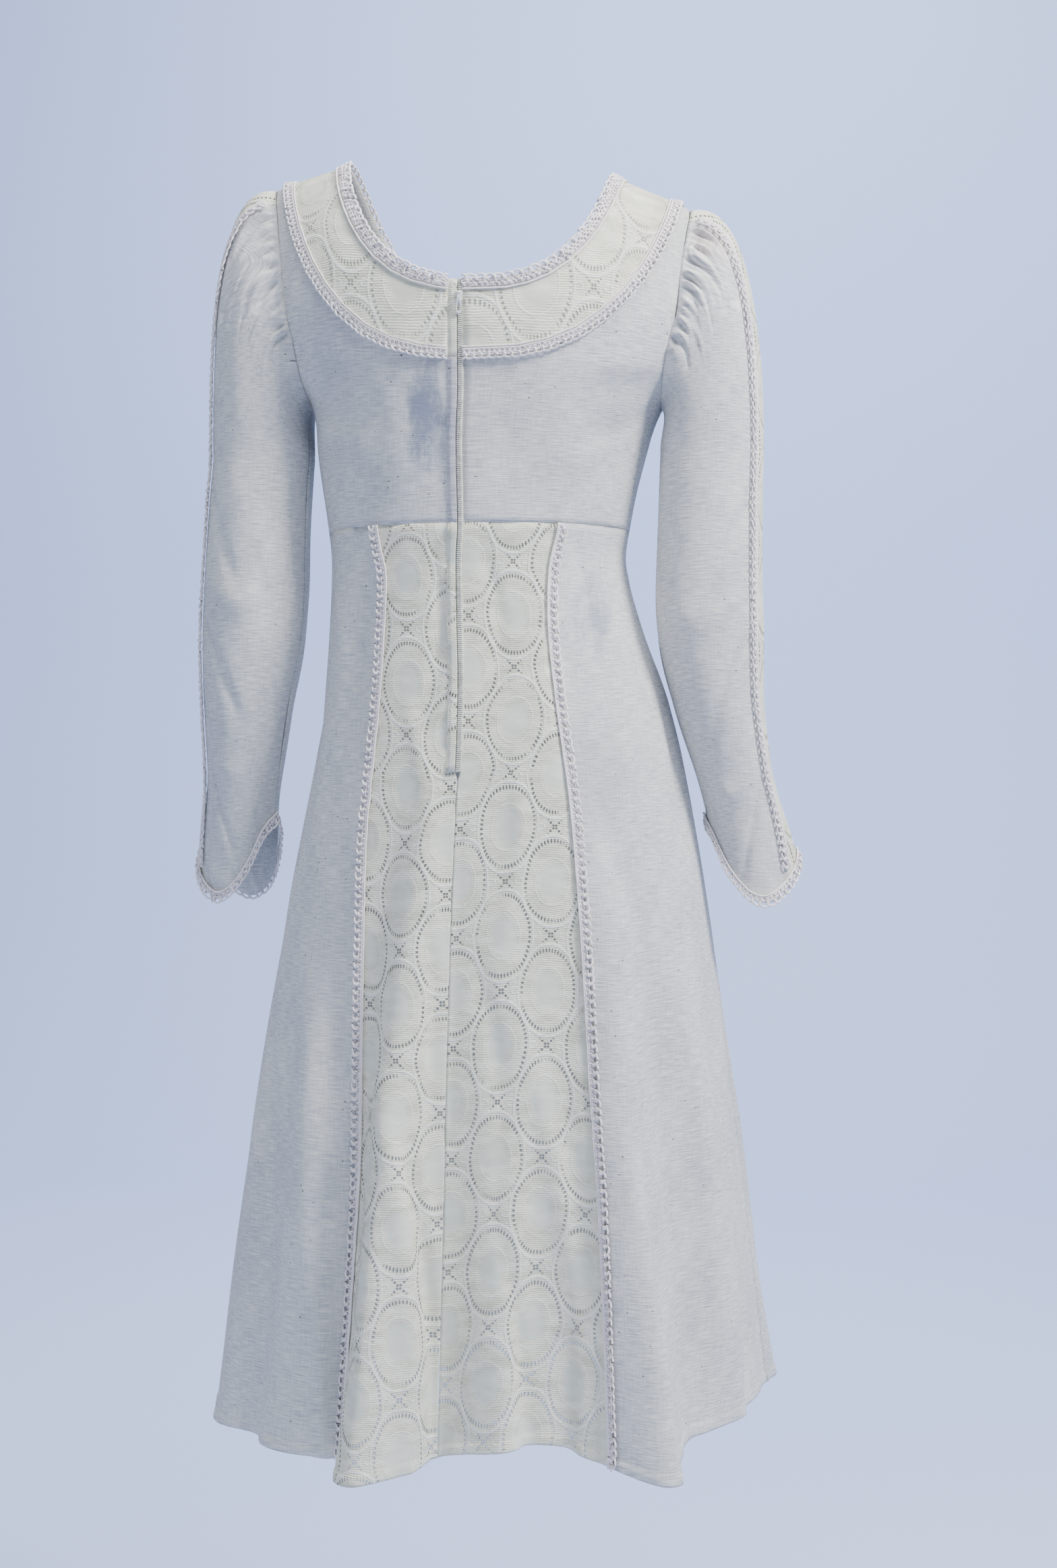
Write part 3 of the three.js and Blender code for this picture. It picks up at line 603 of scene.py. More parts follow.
@dataclass(frozen=True)
class LaceChart:
    """The lace's repeat: staggered ovals ringed with eyelets, a cross and two flowers between them."""

    column: float = 38.5
    repeat: float = 89.0
    oval: tuple[float, float] = (22.0, 32.5)
    ring_holes: float = 54.0
    hole: float = 0.95
    sheer: tuple[float, float] = (11.5, 16.0)
    rib: float = 1.7
    bend: float = 5.0
    cross_reach: float = 8.0
    cross_pitch: float = 3.3
    flower_aside: float = 11.0
    flower_radius: float = 3.0

    def effect(self) -> bpy.types.NodeTree:
        """Builds the chart as a node group over the grain.

        Returns:
            A group with masks for the holes, the sheer middles and the raised lines, and the relief.
        """
        effect = Effect(
            "oval_lace",
            {"Grain": ("Vector", None)},
            {"Holes": "Float", "Sheer": "Float", "Lines": "Float", "Height": "Float"},
        )
        n, grain = effect.nodes, effect.given["Grain"]
        warp = n.add("ShaderNodeTexNoise", {"Vector": grain, "Scale": 0.03, "Detail": 1.0}).outputs["Color"]
        drift = n.vector("SUBTRACT", warp, (0.5, 0.5, 0.5))
        place = n.vector("ADD", grain, n.vector("MULTIPLY", drift, (self.bend, self.bend, self.bend)))
        x, y = n.add("ShaderNodeSeparateXYZ", {0: place}).outputs[:2]
        found = [self.lattice(n, x, y, odd) for odd in (0, 1)]
        holes, sheer, lines = (n.math("MAXIMUM", found[0][i], found[1][i]) for i in range(3))
        ribs = n.math("SINE", n.math("MULTIPLY", y, 2 * math.pi / self.rib))
        fluff = n.noise(n.scaled(grain, (0.32, 1.0, 1)), 1.0, 4.0, 0.6)
        knit = n.math("ADD", n.math("MULTIPLY", ribs, 0.26), n.math("MULTIPLY", fluff, 1.6))
        relief = n.math("MULTIPLY", knit, n.math("SUBTRACT", 1.0, sheer))
        raised = n.math("ADD", relief, n.math("MULTIPLY", lines, 0.9))
        height = n.math("SUBTRACT", raised, n.math("MULTIPLY", holes, 1.6))
        return effect.send(Holes=holes, Sheer=sheer, Lines=lines, Height=height)

    def lattice(self, n: ShaderNodes, x: object, y: object, odd: int) -> tuple[Socket, ...]:
        """Every second column of ovals.

        Args:
            n: The group's nodes.
            x: Distance across.
            y: Distance along.
            odd: Which columns, 0 or 1.

        Returns:
            The masks of its holes, sheer middles and raised lines.
        """
        across = n.wrapped(x, 2 * self.column, 0.5 * odd)
        along = n.wrapped(y, self.repeat, 0.5 * odd)
        flat_x = n.math("ABSOLUTE", n.math("DIVIDE", across, self.oval[0]))
        flat_y = n.math("ABSOLUTE", n.math("DIVIDE", along, self.oval[1]))
        # The ovals are pointed a little at top and bottom
        powers = n.math("ADD", n.math("POWER", flat_x, 2.15), n.math("POWER", flat_y, 1.9))
        radius = n.math("POWER", powers, 0.5)
        turn = n.math("ARCTAN2", flat_y, flat_x)
        share = n.math("MULTIPLY", turn, self.ring_holes / (2 * math.pi))
        nearest = n.math("SUBTRACT", n.math("FRACT", share), 0.5)
        sideways = n.math("MULTIPLY", nearest, 3.9)
        outward = n.math("MULTIPLY", n.math("SUBTRACT", radius, 1.0), 19.0)
        ring = n.step(n.length(sideways, outward), self.hole + 0.35, self.hole - 0.35)
        patchy = n.add("ShaderNodeCombineXYZ", {0: x, 1: y, 2: 7.0 * odd}).outputs[0]
        ring = n.math("MULTIPLY", ring, n.step(n.noise(patchy, 0.07, 3.0), 0.3, 0.56))
        inner = n.length(n.math("DIVIDE", across, self.sheer[0]), n.math("DIVIDE", along, self.sheer[1]))
        sheer = n.step(inner, 1.2, 0.72)
        rim = n.math("MULTIPLY", n.math("ABSOLUTE", n.math("SUBTRACT", inner, 1.22)), 13.0)
        lines = n.math("MULTIPLY", n.step(rim, 0.9, 0.3), 0.5)
        border = n.math("ABSOLUTE", n.math("SUBTRACT", outward, 2.6))
        lines = n.math("MAXIMUM", lines, n.step(border, 0.9, 0.4))
        # The cross of holes stands halfway between two ovals of a column
        below = n.math("SUBTRACT", n.math("ABSOLUTE", along), self.repeat / 2)
        first = n.math("MULTIPLY", n.math("ADD", across, below), 0.7071)
        second = n.math("MULTIPLY", n.math("ADD", n.math("MULTIPLY", across, -1.0), below), 0.7071)
        centred = n.length(across, below)
        near = n.step(centred, self.cross_reach + 0.5, self.cross_reach - 0.5)
        arms = []
        for aside, onward in ((first, second), (second, first)):
            dots = n.wrapped(onward, self.cross_pitch, 0.5)
            arms.append(n.step(n.length(aside, dots), 1.25, 0.6))
        cross = n.math("MULTIPLY", n.math("MAXIMUM", *arms), near)
        holes = n.math("MAXIMUM", ring, cross)
        # A little flower at each side of the cross
        beside = n.math("SUBTRACT", n.math("ABSOLUTE", across), self.flower_aside)
        flower = n.length(beside, n.math("MULTIPLY", below, 1.25))
        petals = n.math("ABSOLUTE", n.math("SUBTRACT", flower, self.flower_radius))
        lines = n.math("MAXIMUM", lines, n.step(petals, 0.9, 0.3))
        return holes, sheer, lines


class Finish:
    """A material with its Principled shader and output."""

    def __init__(self, name: str, roughness: float, sheen: float = 0.0) -> None:
        """Makes the material.

        Args:
            name: The material's name.
            roughness: Its roughness, the same all over.
            sheen: How strong its nap's sheen is.
        """
        self.material = bpy.data.materials.new(name)
        self.material.use_nodes = True
        tree = self.material.node_tree
        self.nodes = ShaderNodes(tree)
        self.shader = tree.nodes["Principled BSDF"]
        self.shader.inputs["Roughness"].default_value = roughness
        self.shader.inputs["Sheen Weight"].default_value = sheen
        self.shader.inputs["Sheen Roughness"].default_value = 0.5
        self.shader.inputs["Specular IOR Level"].default_value = 0.25
        uv = self.nodes.add("ShaderNodeTexCoord").outputs["UV"]
        self.grain = self.nodes.scaled(uv, (1000.0, 1000.0, 1.0))

    def colour(self, socket: Socket) -> None:
        """Feeds the base colour."""
        self.nodes.tree.links.new(socket, self.shader.inputs["Base Color"])

    def bump(self, height: Socket, distance: float, strength: float = 1.0) -> None:
        """Feeds a bump of some millimetres."""
        inputs = {"Height": height, "Distance": distance * MM, "Strength": strength}
        made = self.nodes.add("ShaderNodeBump", inputs)
        self.nodes.tree.links.new(made.outputs["Normal"], self.shader.inputs["Normal"])

    def fade(self, alpha: Socket) -> None:
        """Feeds the alpha."""
        self.nodes.tree.links.new(alpha, self.shader.inputs["Alpha"])


@dataclass(frozen=True)
class StainAndShade:
    """One patch of colour on the cloth: where, how far it reaches and its colour. Most are stains; some are
    painted shade.
    """

    centre: Place
    reach: Place
    colour: Colour
    strength: float


@dataclass(frozen=True)
class Linen:
    """Slubby natural linen with small dark flecks."""

    name: str = "linen"
    dark: Colour = (0.49, 0.515, 0.55, 1)
    light: Colour = (0.985, 0.96, 0.91, 1)
    fleck: Colour = (0.14, 0.11, 0.09, 1)
    stains: tuple[StainAndShade, ...] = (
        StainAndShade((-0.026, -0.105, -0.213), (0.023, 0.05, 0.052), (0.22, 0.26, 0.38, 1), 0.85),
        # Painted shadow of the fold beside the top of the right lace panel
        StainAndShade((0.112, -0.085, -0.371), (0.022, 0.05, 0.045), (0.33, 0.40, 0.52, 1), 0.6),
        StainAndShade((0.205, -0.01, -0.06), (0.026, 0.05, 0.02), (0.62, 0.40, 0.36, 1), 0.4),
        # Bluish-grey patches on the right bodice by the underarm and on the left below the collar
        StainAndShade((0.15, -0.09, -0.20), (0.05, 0.06, 0.05), (0.42, 0.45, 0.56, 1), 0.35),
        StainAndShade((-0.12, -0.09, -0.12), (0.04, 0.06, 0.10), (0.44, 0.47, 0.56, 1), 0.3),
        StainAndShade((0.12, -0.1, -0.50), (0.05, 0.07, 0.05), (0.60, 0.55, 0.58, 1), 0.3),
    )

    def build(self, kit: "Finishes") -> bpy.types.Material:
        """Builds the material."""
        made = Finish(self.name, 0.88, 0.25)
        n = made.nodes
        weave = n.group(kit.weave, {"Grain": made.grain, "Thread": 0.8, "Slubs": 1.0}).outputs
        shown = n.mix(n.step(weave["Shade"], 0.0, 1.0), self.dark, self.light)
        shown = n.mix(n.math("MULTIPLY", weave["Flecks"], 0.95), shown, self.fleck)
        # Stains, and the painted shadow of a fold, laid over the weave
        for stain in self.stains:
            mask = n.group(kit.stain, {"Centre": stain.centre, "Reach": stain.reach}).outputs["Mask"]
            shown = n.mix(n.math("MULTIPLY", mask, stain.strength), shown, stain.colour)
        made.colour(shown)
        made.bump(weave["Height"], 0.5, 0.85)
        return made.material


@dataclass(frozen=True)
class Lace:
    """Cream lace with ovals of eyelets; it lies on linen, or hangs free and lets light through."""

    name: str
    free: bool
    ground: Colour = (0.64, 0.635, 0.50, 1)
    light: Colour = (0.92, 0.90, 0.755, 1)
    sheer: Colour = (0.74, 0.79, 0.75, 1)
    # Dark grey for the eyelets, painted shade inside them
    hole: Colour = (0.36, 0.37, 0.34, 1)
    raised: Colour = (0.93, 0.92, 0.85, 1)
    ochre: Colour = (0.62, 0.53, 0.38, 1)

    def build(self, kit: "Finishes") -> bpy.types.Material:
        """Builds the material."""
        made = Finish(self.name, 0.9, 0.2)
        n = made.nodes
        chart = n.group(kit.lace, {"Grain": made.grain}).outputs
        cloudy = n.noise(n.scaled(made.grain, (0.035, 0.09, 1)), 1.0, 5.0, 0.65)
        knit = n.math("MULTIPLY", n.math("SUBTRACT", chart["Height"], 0.8), 0.13)
        shown = n.mix(n.step(n.math("ADD", cloudy, knit), 0.28, 0.66), self.ground, self.light)
        shown = n.mix(n.math("MULTIPLY", chart["Sheer"], 0.45 if self.free else 0.2), shown, self.sheer)
        shown = n.mix(n.math("MULTIPLY", chart["Lines"], 0.7), shown, self.raised)
        # The eyelets are painted dark, as the shade within them
        shown = n.mix(n.math("MULTIPLY", chart["Holes"], 0.8 if self.free else 0.75), shown, self.hole)
        yellow = n.step(n.noise(n.scaled(made.grain, (0.011, 0.008, 1)), 1.0, 3.0), 0.55, 0.8)
        shown = n.mix(n.math("MULTIPLY", yellow, 0.22), shown, self.ochre)
        made.colour(shown)
        made.bump(chart["Height"], 0.6, 0.9)
        if self.free:
            gone = n.math("MULTIPLY", chart["Holes"], 0.75)
            thin = n.math("MULTIPLY", chart["Sheer"], 0.03)
            made.fade(n.math("SUBTRACT", n.math("SUBTRACT", 1.0, gone), thin))
        return made.material


@dataclass(frozen=True)
class Crochet:
    """Fluffy cotton yarn of the trims, white with a pinkish cast."""

    name: str = "crochet"
    dark: Colour = (0.88, 0.81, 0.825, 1)
    light: Colour = (1.0, 0.95, 0.955, 1)

    def build(self) -> bpy.types.Material:
        """Builds the material."""
        made = Finish(self.name, 0.92, 0.1)
        n = made.nodes
        place = n.add("ShaderNodeTexCoord").outputs["Object"]
        fuzz = n.noise(place, 900.0, 4.0, 0.7)
        patches = n.noise(place, 45.0, 3.0)
        lightness = n.math("ADD", n.math("MULTIPLY", fuzz, 0.7), n.math("MULTIPLY", patches, 0.5))
        made.colour(n.mix(n.step(lightness, 0.35, 0.85), self.dark, self.light))
        made.bump(fuzz, 0.5, 0.8)
        return made.material


@dataclass(frozen=True)
class ZipNylon:
    """Off-white nylon of the zip's tape and coil, and the enamel of its slider and pull."""

    name: str
    tone: Colour
    roughness: float

    def build(self) -> bpy.types.Material:
        """Builds the material."""
        made = Finish(self.name, self.roughness)
        n = made.nodes
        place = n.add("ShaderNodeTexCoord").outputs["Object"]
        worn = n.noise(place, 220.0, 4.0, 0.6)
        darker = tuple(0.72 * part for part in self.tone[:3]) + (1,)
        made.colour(n.mix(n.step(worn, 0.3, 0.7), darker, self.tone))
        made.bump(worn, 0.15, 0.4)
        return made.material


class Finishes:
    """The shared effects and all the dress's materials."""

    def __init__(self) -> None:
        """Builds the effects once, and each material with its own values."""
        self.weave = weave_effect()
        self.stain = stain_and_shade_effect()
        self.lace = LaceChart().effect()
        self.linen = Linen().build(self)
        # The placket's linen is darker and mauver, partly its wear and partly painted shade of its fold
        worn = Linen("linen_worn", dark=(0.42, 0.43, 0.49, 1), light=(0.84, 0.80, 0.83, 1))
        self.worn_and_shaded_linen = worn.build(self)
        self.free_lace = Lace("lace", free=True).build(self)
        self.backed_lace = Lace("lace_on_linen", free=False).build(self)
        self.crochet = Crochet().build()
        # The band under the loops is a darker copy of the yarn, painted shade between the loops
        ground = Crochet("crochet_ground", dark=(0.76, 0.72, 0.735, 1), light=(0.95, 0.91, 0.92, 1))
        self.crochet_ground = ground.build()
        self.nylon = ZipNylon("zip_nylon", (0.93, 0.93, 0.85, 1), 0.4).build()
        self.enamel = ZipNylon("zip_enamel", (0.80, 0.81, 0.80, 1), 0.2).build()


def mesh_object(
    name: str, points: np.ndarray, faces: Faces, grain: np.ndarray, material: bpy.types.Material
) -> bpy.types.Object:
    """Makes an object from points in millimetres.

    Args:
        name: The object's name.
        points: One row for each point.
        faces: The points of each face.
        grain: The weave's place at each point, in millimetres.
        material: Its material.

    Returns:
        The object, linked to the scene and shaded smooth.
    """
    mesh = bpy.data.meshes.new(name)
    mesh.from_pydata((points * MM).tolist(), [], faces)
    layer = mesh.uv_layers.new(name="grain")
    corners = np.zeros(len(mesh.loops), int)
    mesh.loops.foreach_get("vertex_index", corners)
    layer.data.foreach_set("uv", (grain[corners] * MM).astype(np.float32).ravel())
    mesh.polygons.foreach_set("use_smooth", np.ones(len(mesh.polygons), bool))
    mesh.materials.append(material)
    mesh.update()
    made = bpy.data.objects.new(name, mesh)
    bpy.context.scene.collection.objects.link(made)
    return made


def grid_faces(index: np.ndarray, facing: int) -> np.ndarray:
    """The four corners of each face of a grid of point numbers."""
    quads = np.stack([index[:-1, :-1], index[:-1, 1:], index[1:, 1:], index[1:, :-1]], axis=-1)
    flat = quads.reshape(-1, 4)
    return flat if facing < 0 else flat[:, ::-1]


def cloth(
    name: str, sheets: list[Sheet], wall: float, material: bpy.types.Material, lift: float = 0.0
) -> bpy.types.Object:
    """A thin closed wall on one or more grids that share edges.

    Args:
        name: The piece's name.
        sheets: The grids.
        wall: The cloth's thickness, inward from its outer face.
        material: Its material.
        lift: How far the outer face stands off the grids.

    Returns:
        The object.
    """
    points = np.concatenate([sheet.points.reshape(-1, 3) for sheet in sheets])
    normals = np.concatenate([sheet.normals.reshape(-1, 3) for sheet in sheets])
    grain = np.concatenate([sheet.grain.reshape(-1, 2) for sheet in sheets])
    # Points that agree to a hundredth of a millimetre are one point
    rounded = np.round(points, 2)
    _, first, inverse = np.unique(rounded, axis=0, return_index=True, return_inverse=True)
    inverse = inverse.reshape(-1)
    quads, start = [], 0
    for sheet in sheets:
        count = sheet.points.shape[0] * sheet.points.shape[1]
        index = inverse[start : start + count].reshape(sheet.points.shape[:2])
        quads.append(grid_faces(index, sheet.facing))
        start += count
    faces = np.concatenate(quads)
    count = len(first)
    edges = np.concatenate([faces[:, [a, (a + 1) % 4]] for a in range(4)])
    edges = edges[edges[:, 0] != edges[:, 1]]
    keys = edges[:, 0] * count + edges[:, 1]
    back = edges[:, 1] * count + edges[:, 0]
    rim = edges[~np.isin(keys, back)]
    outer = points[first] + normals[first] * lift
    inner = outer - normals[first] * wall
    around = np.stack([rim[:, 1], rim[:, 0], rim[:, 0] + count, rim[:, 1] + count], axis=-1)
    everything = np.concatenate([faces, faces[:, ::-1] + count, around])
    lists = [tuple(dict.fromkeys(face)) for face in everything.tolist()]
    lists = [face for face in lists if len(face) > 2]
    grains = np.concatenate([grain[first]] * 2)
    return mesh_object(name, np.concatenate([outer, inner]), lists, grains, material)


def declare(
    piece: bpy.types.Object, nodes: tuple[str, ...], body: str = "dress"
) -> bpy.types.Object:
    """Rides a piece on its body, in the place of its nodes."""
    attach(piece, body)
    if nodes:
        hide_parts(*nodes)
    log.info("%s: %d faces", piece.name, len(piece.data.polygons))
    return piece


def state_sheets(sheets: list[Sheet]) -> None:
    """Works out the spans of a piece's grids, which are then not used.

    Args:
        sheets: Its grids.
    """
    spans = [sheet.spans() for sheet in sheets]


class Yarn:
    """Tubes of yarn that loop along an edge."""

    def __init__(self) -> None:
        """Starts with no yarn."""
        self.points: list[np.ndarray] = []
        self.faces: list[list[int] | tuple[int, ...]] = []
        self.count = 0

    def tube(self, path: np.ndarray, radius: float, sides: int = 4) -> None:
        """Adds a closed-ended tube along a path of points."""
        along = unit(np.gradient(path, axis=0))
        aside = unit(np.cross(along, np.array([0.13, 0.21, 1.0])))
        third = np.cross(along, aside)
        turns = np.linspace(0, 2 * math.pi, sides, endpoint=False)
        ring = np.cos(turns)[None, :, None] * aside[:, None] + np.sin(turns)[None, :, None] * third[:, None]
        self.points.append((path[:, None] + radius * ring).reshape(-1, 3))
        index = np.arange(len(path) * sides).reshape(len(path), sides)
        index = np.concatenate([index, index[:, :1]], axis=1) + self.count
        quads = grid_faces(index, 1).tolist()
        quads.append(tuple(index[0, :sides].tolist()))
        quads.append(tuple(index[-1, :sides][::-1].tolist()))
        self.faces.extend(quads)
        self.count += len(path) * sides

    def make(self, name: str, material: bpy.types.Material) -> bpy.types.Object:
        """Makes the yarn's object."""
        points = np.concatenate(self.points)
        return mesh_object(name, points, [tuple(face) for face in self.faces], points[:, [0, 2]], material)


@dataclass(frozen=True)
class Stitching:
    """How a trim is worked, in millimetres: the band's edges and scallops, and the loops and cords on it."""

    inner: float
    outer: float
    scallop: float
    petal: float
    pitch: float
    rows: tuple[tuple[float, float], ...]
    cords: tuple[float, ...]
    yarn: float
    fluff: float
    lift: float


NECK_STITCHES = Stitching(
    inner=-7.4,
    outer=-0.2,
    scallop=0.9,
    petal=7.6,
    pitch=4.6,
    rows=((-5.4, 2.8), (-3.2, 2.8), (-1.0, 2.8)),
    cords=(-9.2,),
    yarn=1.15,
    fluff=2.6,
    lift=2.6,
)
COLLAR_STITCHES = Stitching(
    inner=-7.0,
    outer=-1.4,
    scallop=0.7,
    petal=6.4,
    pitch=4.2,
    rows=((-4.4, 2.6),),
    cords=(-8.8, -6.8, -2.0),
    yarn=0.95,
    fluff=1.0,
    lift=2.4,
)
SEAM_STITCHES = Stitching(
    inner=-3.4,
    outer=1.0,
    scallop=0.8,
    petal=7.2,
    pitch=4.0,
    rows=((-0.9, 2.8),),
    cords=(-3.9, -2.6),
    yarn=0.95,
    fluff=1.2,
    lift=2.0,
)
CUFF_STITCHES = Stitching(
    inner=-5.0,
    outer=1.0,
    scallop=0.8,
    petal=6.6,
    pitch=4.2,
    rows=((-2.4, 2.6),),
    cords=(-5.6,),
    yarn=1.0,
    fluff=1.4,
    lift=1.6,
)


@dataclass
class Edge:
    """A line along cloth, with its outward normals and the direction across it."""

    line: np.ndarray
    normals: np.ndarray
    away: np.ndarray

    @classmethod
    def of(cls, edge: np.ndarray, inside: np.ndarray, normals: np.ndarray) -> "Edge":
        """An edge from its line and the next line inside it."""
        return cls(edge, unit(normals), unit(edge - inside))

    @classmethod
    def toward(cls, line: np.ndarray, normals: np.ndarray, beside: np.ndarray) -> "Edge":
        """An edge that faces the line beside it."""
        made = cls(line, unit(normals), line * 0)
        made.away = unit(np.cross(made.normals, np.gradient(line, axis=0)))
        made.away *= np.sign((made.away * (beside - line)).sum())
        return made

    def even(self, pitch: float) -> "Edge":
        """The same edge in even steps of about a pitch."""
        steps = np.linalg.norm(np.diff(self.line, axis=0), axis=-1)
        far = np.concatenate([[0], np.cumsum(steps)])
        count = max(2, int(round(far[-1] / pitch)))
        at = np.linspace(0, far[-1], count + 1)
        parts = [
            np.stack([np.interp(at, far, values[:, axis]) for axis in range(3)], axis=-1)
            for values in (self.line, self.normals, self.away)
        ]
        return Edge(parts[0], unit(parts[1]), unit(parts[2]))

    def offset(self, across: np.ndarray | float, lift: np.ndarray | float) -> np.ndarray:
        """Points a distance across the edge and off the cloth."""
        across = np.broadcast_to(across, len(self.line))[:, None]
        lift = np.broadcast_to(lift, len(self.line))[:, None]
        return self.line + self.away * across + self.normals * lift


@dataclass
class CrochetTrim:
    """A crochet edging along a line: a thin relief band with rows of looping yarn on it."""

    node: str
    edge: Edge
    stitches: Stitching
    seed: int
    band_step: float = 1.6
    band_columns: int = 7
    band_wall: float = 0.7
    loop_steps: int = 7
    cord_stride: int = 3

    def petals(self, along: np.ndarray) -> np.ndarray:
        """The scallops along the edge, from 0 between two of them to 1 at their tips."""
        wander = 0.4 * ripple(along, along * 0, 60, self.seed)
        return np.abs(np.sin(math.pi * along / self.stitches.petal + wander))

    def band(self) -> Sheet:
        """The relief band from the inner to the outer edge, with two staggered rows of knit."""
        trim = self.stitches
        even = self.edge.even(self.band_step)
        along = np.arange(len(even.line)) * self.band_step
        reach = trim.scallop * (self.petals(along) - 0.6) + 0.35 * ripple(along, along * 0, 9, self.seed)
        grid, grain = [], []
        for share in np.linspace(0, 1, self.band_columns):
            across = trim.inner + (trim.outer + reach - trim.inner) * share
            stagger = 0.5 if share > 0.5 else 0.0
            knit = np.cos(2 * math.pi * (along / trim.pitch + stagger)) * math.sin(math.pi * 3 * share)
            fuzz = trim.fluff * 0.5 * ripple(along, across + 0 * along, 5, self.seed + 1)
            rim = 0.4 if share in (0, 1) else 0.0
            grid.append(even.offset(across, trim.lift + 0.35 * knit + fuzz - rim))
            grain.append(np.stack([along, across], axis=-1))
        sheet = Sheet(np.stack(grid, axis=1), np.stack(grain, axis=1))
        if (sheet.normals * even.normals[:, None]).sum() < 0:
            sheet = Sheet(sheet.points, sheet.grain, -1)
        return sheet

    def loops(self) -> Yarn:
        """The rows of loops, the scalloped border and the cords."""
        trim = self.stitches
        fine = self.edge.even(trim.pitch / self.loop_steps)
        count = np.arange(len(fine.line))
        forward = unit(np.gradient(fine.line, axis=0))
        scallops = trim.scallop * (self.petals(count * trim.pitch / self.loop_steps) - 0.6)
        random = np.random.default_rng(self.seed)
        phase = count * 2 * math.pi / self.loop_steps
        yarn = Yarn()
        for middle, width in trim.rows:
            lean = 1 + 0.3 * ripple(phase * 3, phase * 0, 40, self.seed + 2)
            share = np.clip((middle - trim.inner) / (trim.outer - trim.inner), 0, 1)
            across = middle + share * scallops + width * 0.5 * lean * np.cos(phase)
            wander = 0.3 * trim.fluff * ripple(phase * 2, phase, 9, self.seed + 5)
            lift = trim.lift + 0.45 + 0.4 * np.sin(2 * phase) + wander
            path = fine.offset(across, lift) + forward * (0.42 * trim.pitch * np.sin(phase))[:, None]
            yarn.tube(path, trim.yarn * 0.62)
            phase = phase + random.uniform(0, math.pi)
        wave = count * 2 * math.pi * trim.pitch / self.loop_steps / trim.petal
        uneven = 1 + 0.22 * ripple(wave * 4, wave * 0, 30, self.seed + 6)
        across = trim.outer + 0.3 + trim.petal * (0.15 * (1 + uneven) * np.cos(wave) + 0.1)
        wander = 0.5 * trim.fluff * ripple(wave * 2, wave, 7, self.seed + 8)
        lift = trim.lift + 0.9 + 0.5 * np.sin(wave) - wander
        path = fine.offset(across, lift) + forward * (0.34 * trim.petal * np.sin(wave))[:, None]
        yarn.tube(path, trim.yarn)
        for place in trim.cords:
            yarn.tube(fine.offset(place, trim.lift + 0.15)[:: self.cord_stride], trim.yarn * 0.8, 5)
        return yarn

    def build(self, kit: Finishes, rests_on: list[str]) -> None:
        """Makes the band, in place of the trim's node, and the yarn on it."""
        sheet = self.band()
        name = self.node + "_band"
        # The band is darker than its loops, as painted shade between them
        band = cloth(name, [sheet], self.band_wall, kit.crochet_ground)
        yarn = declare(self.loops().make(name + "_loops", kit.crochet), ())
        declare(band, (self.node,))
        width, length, area = sheet.spans()


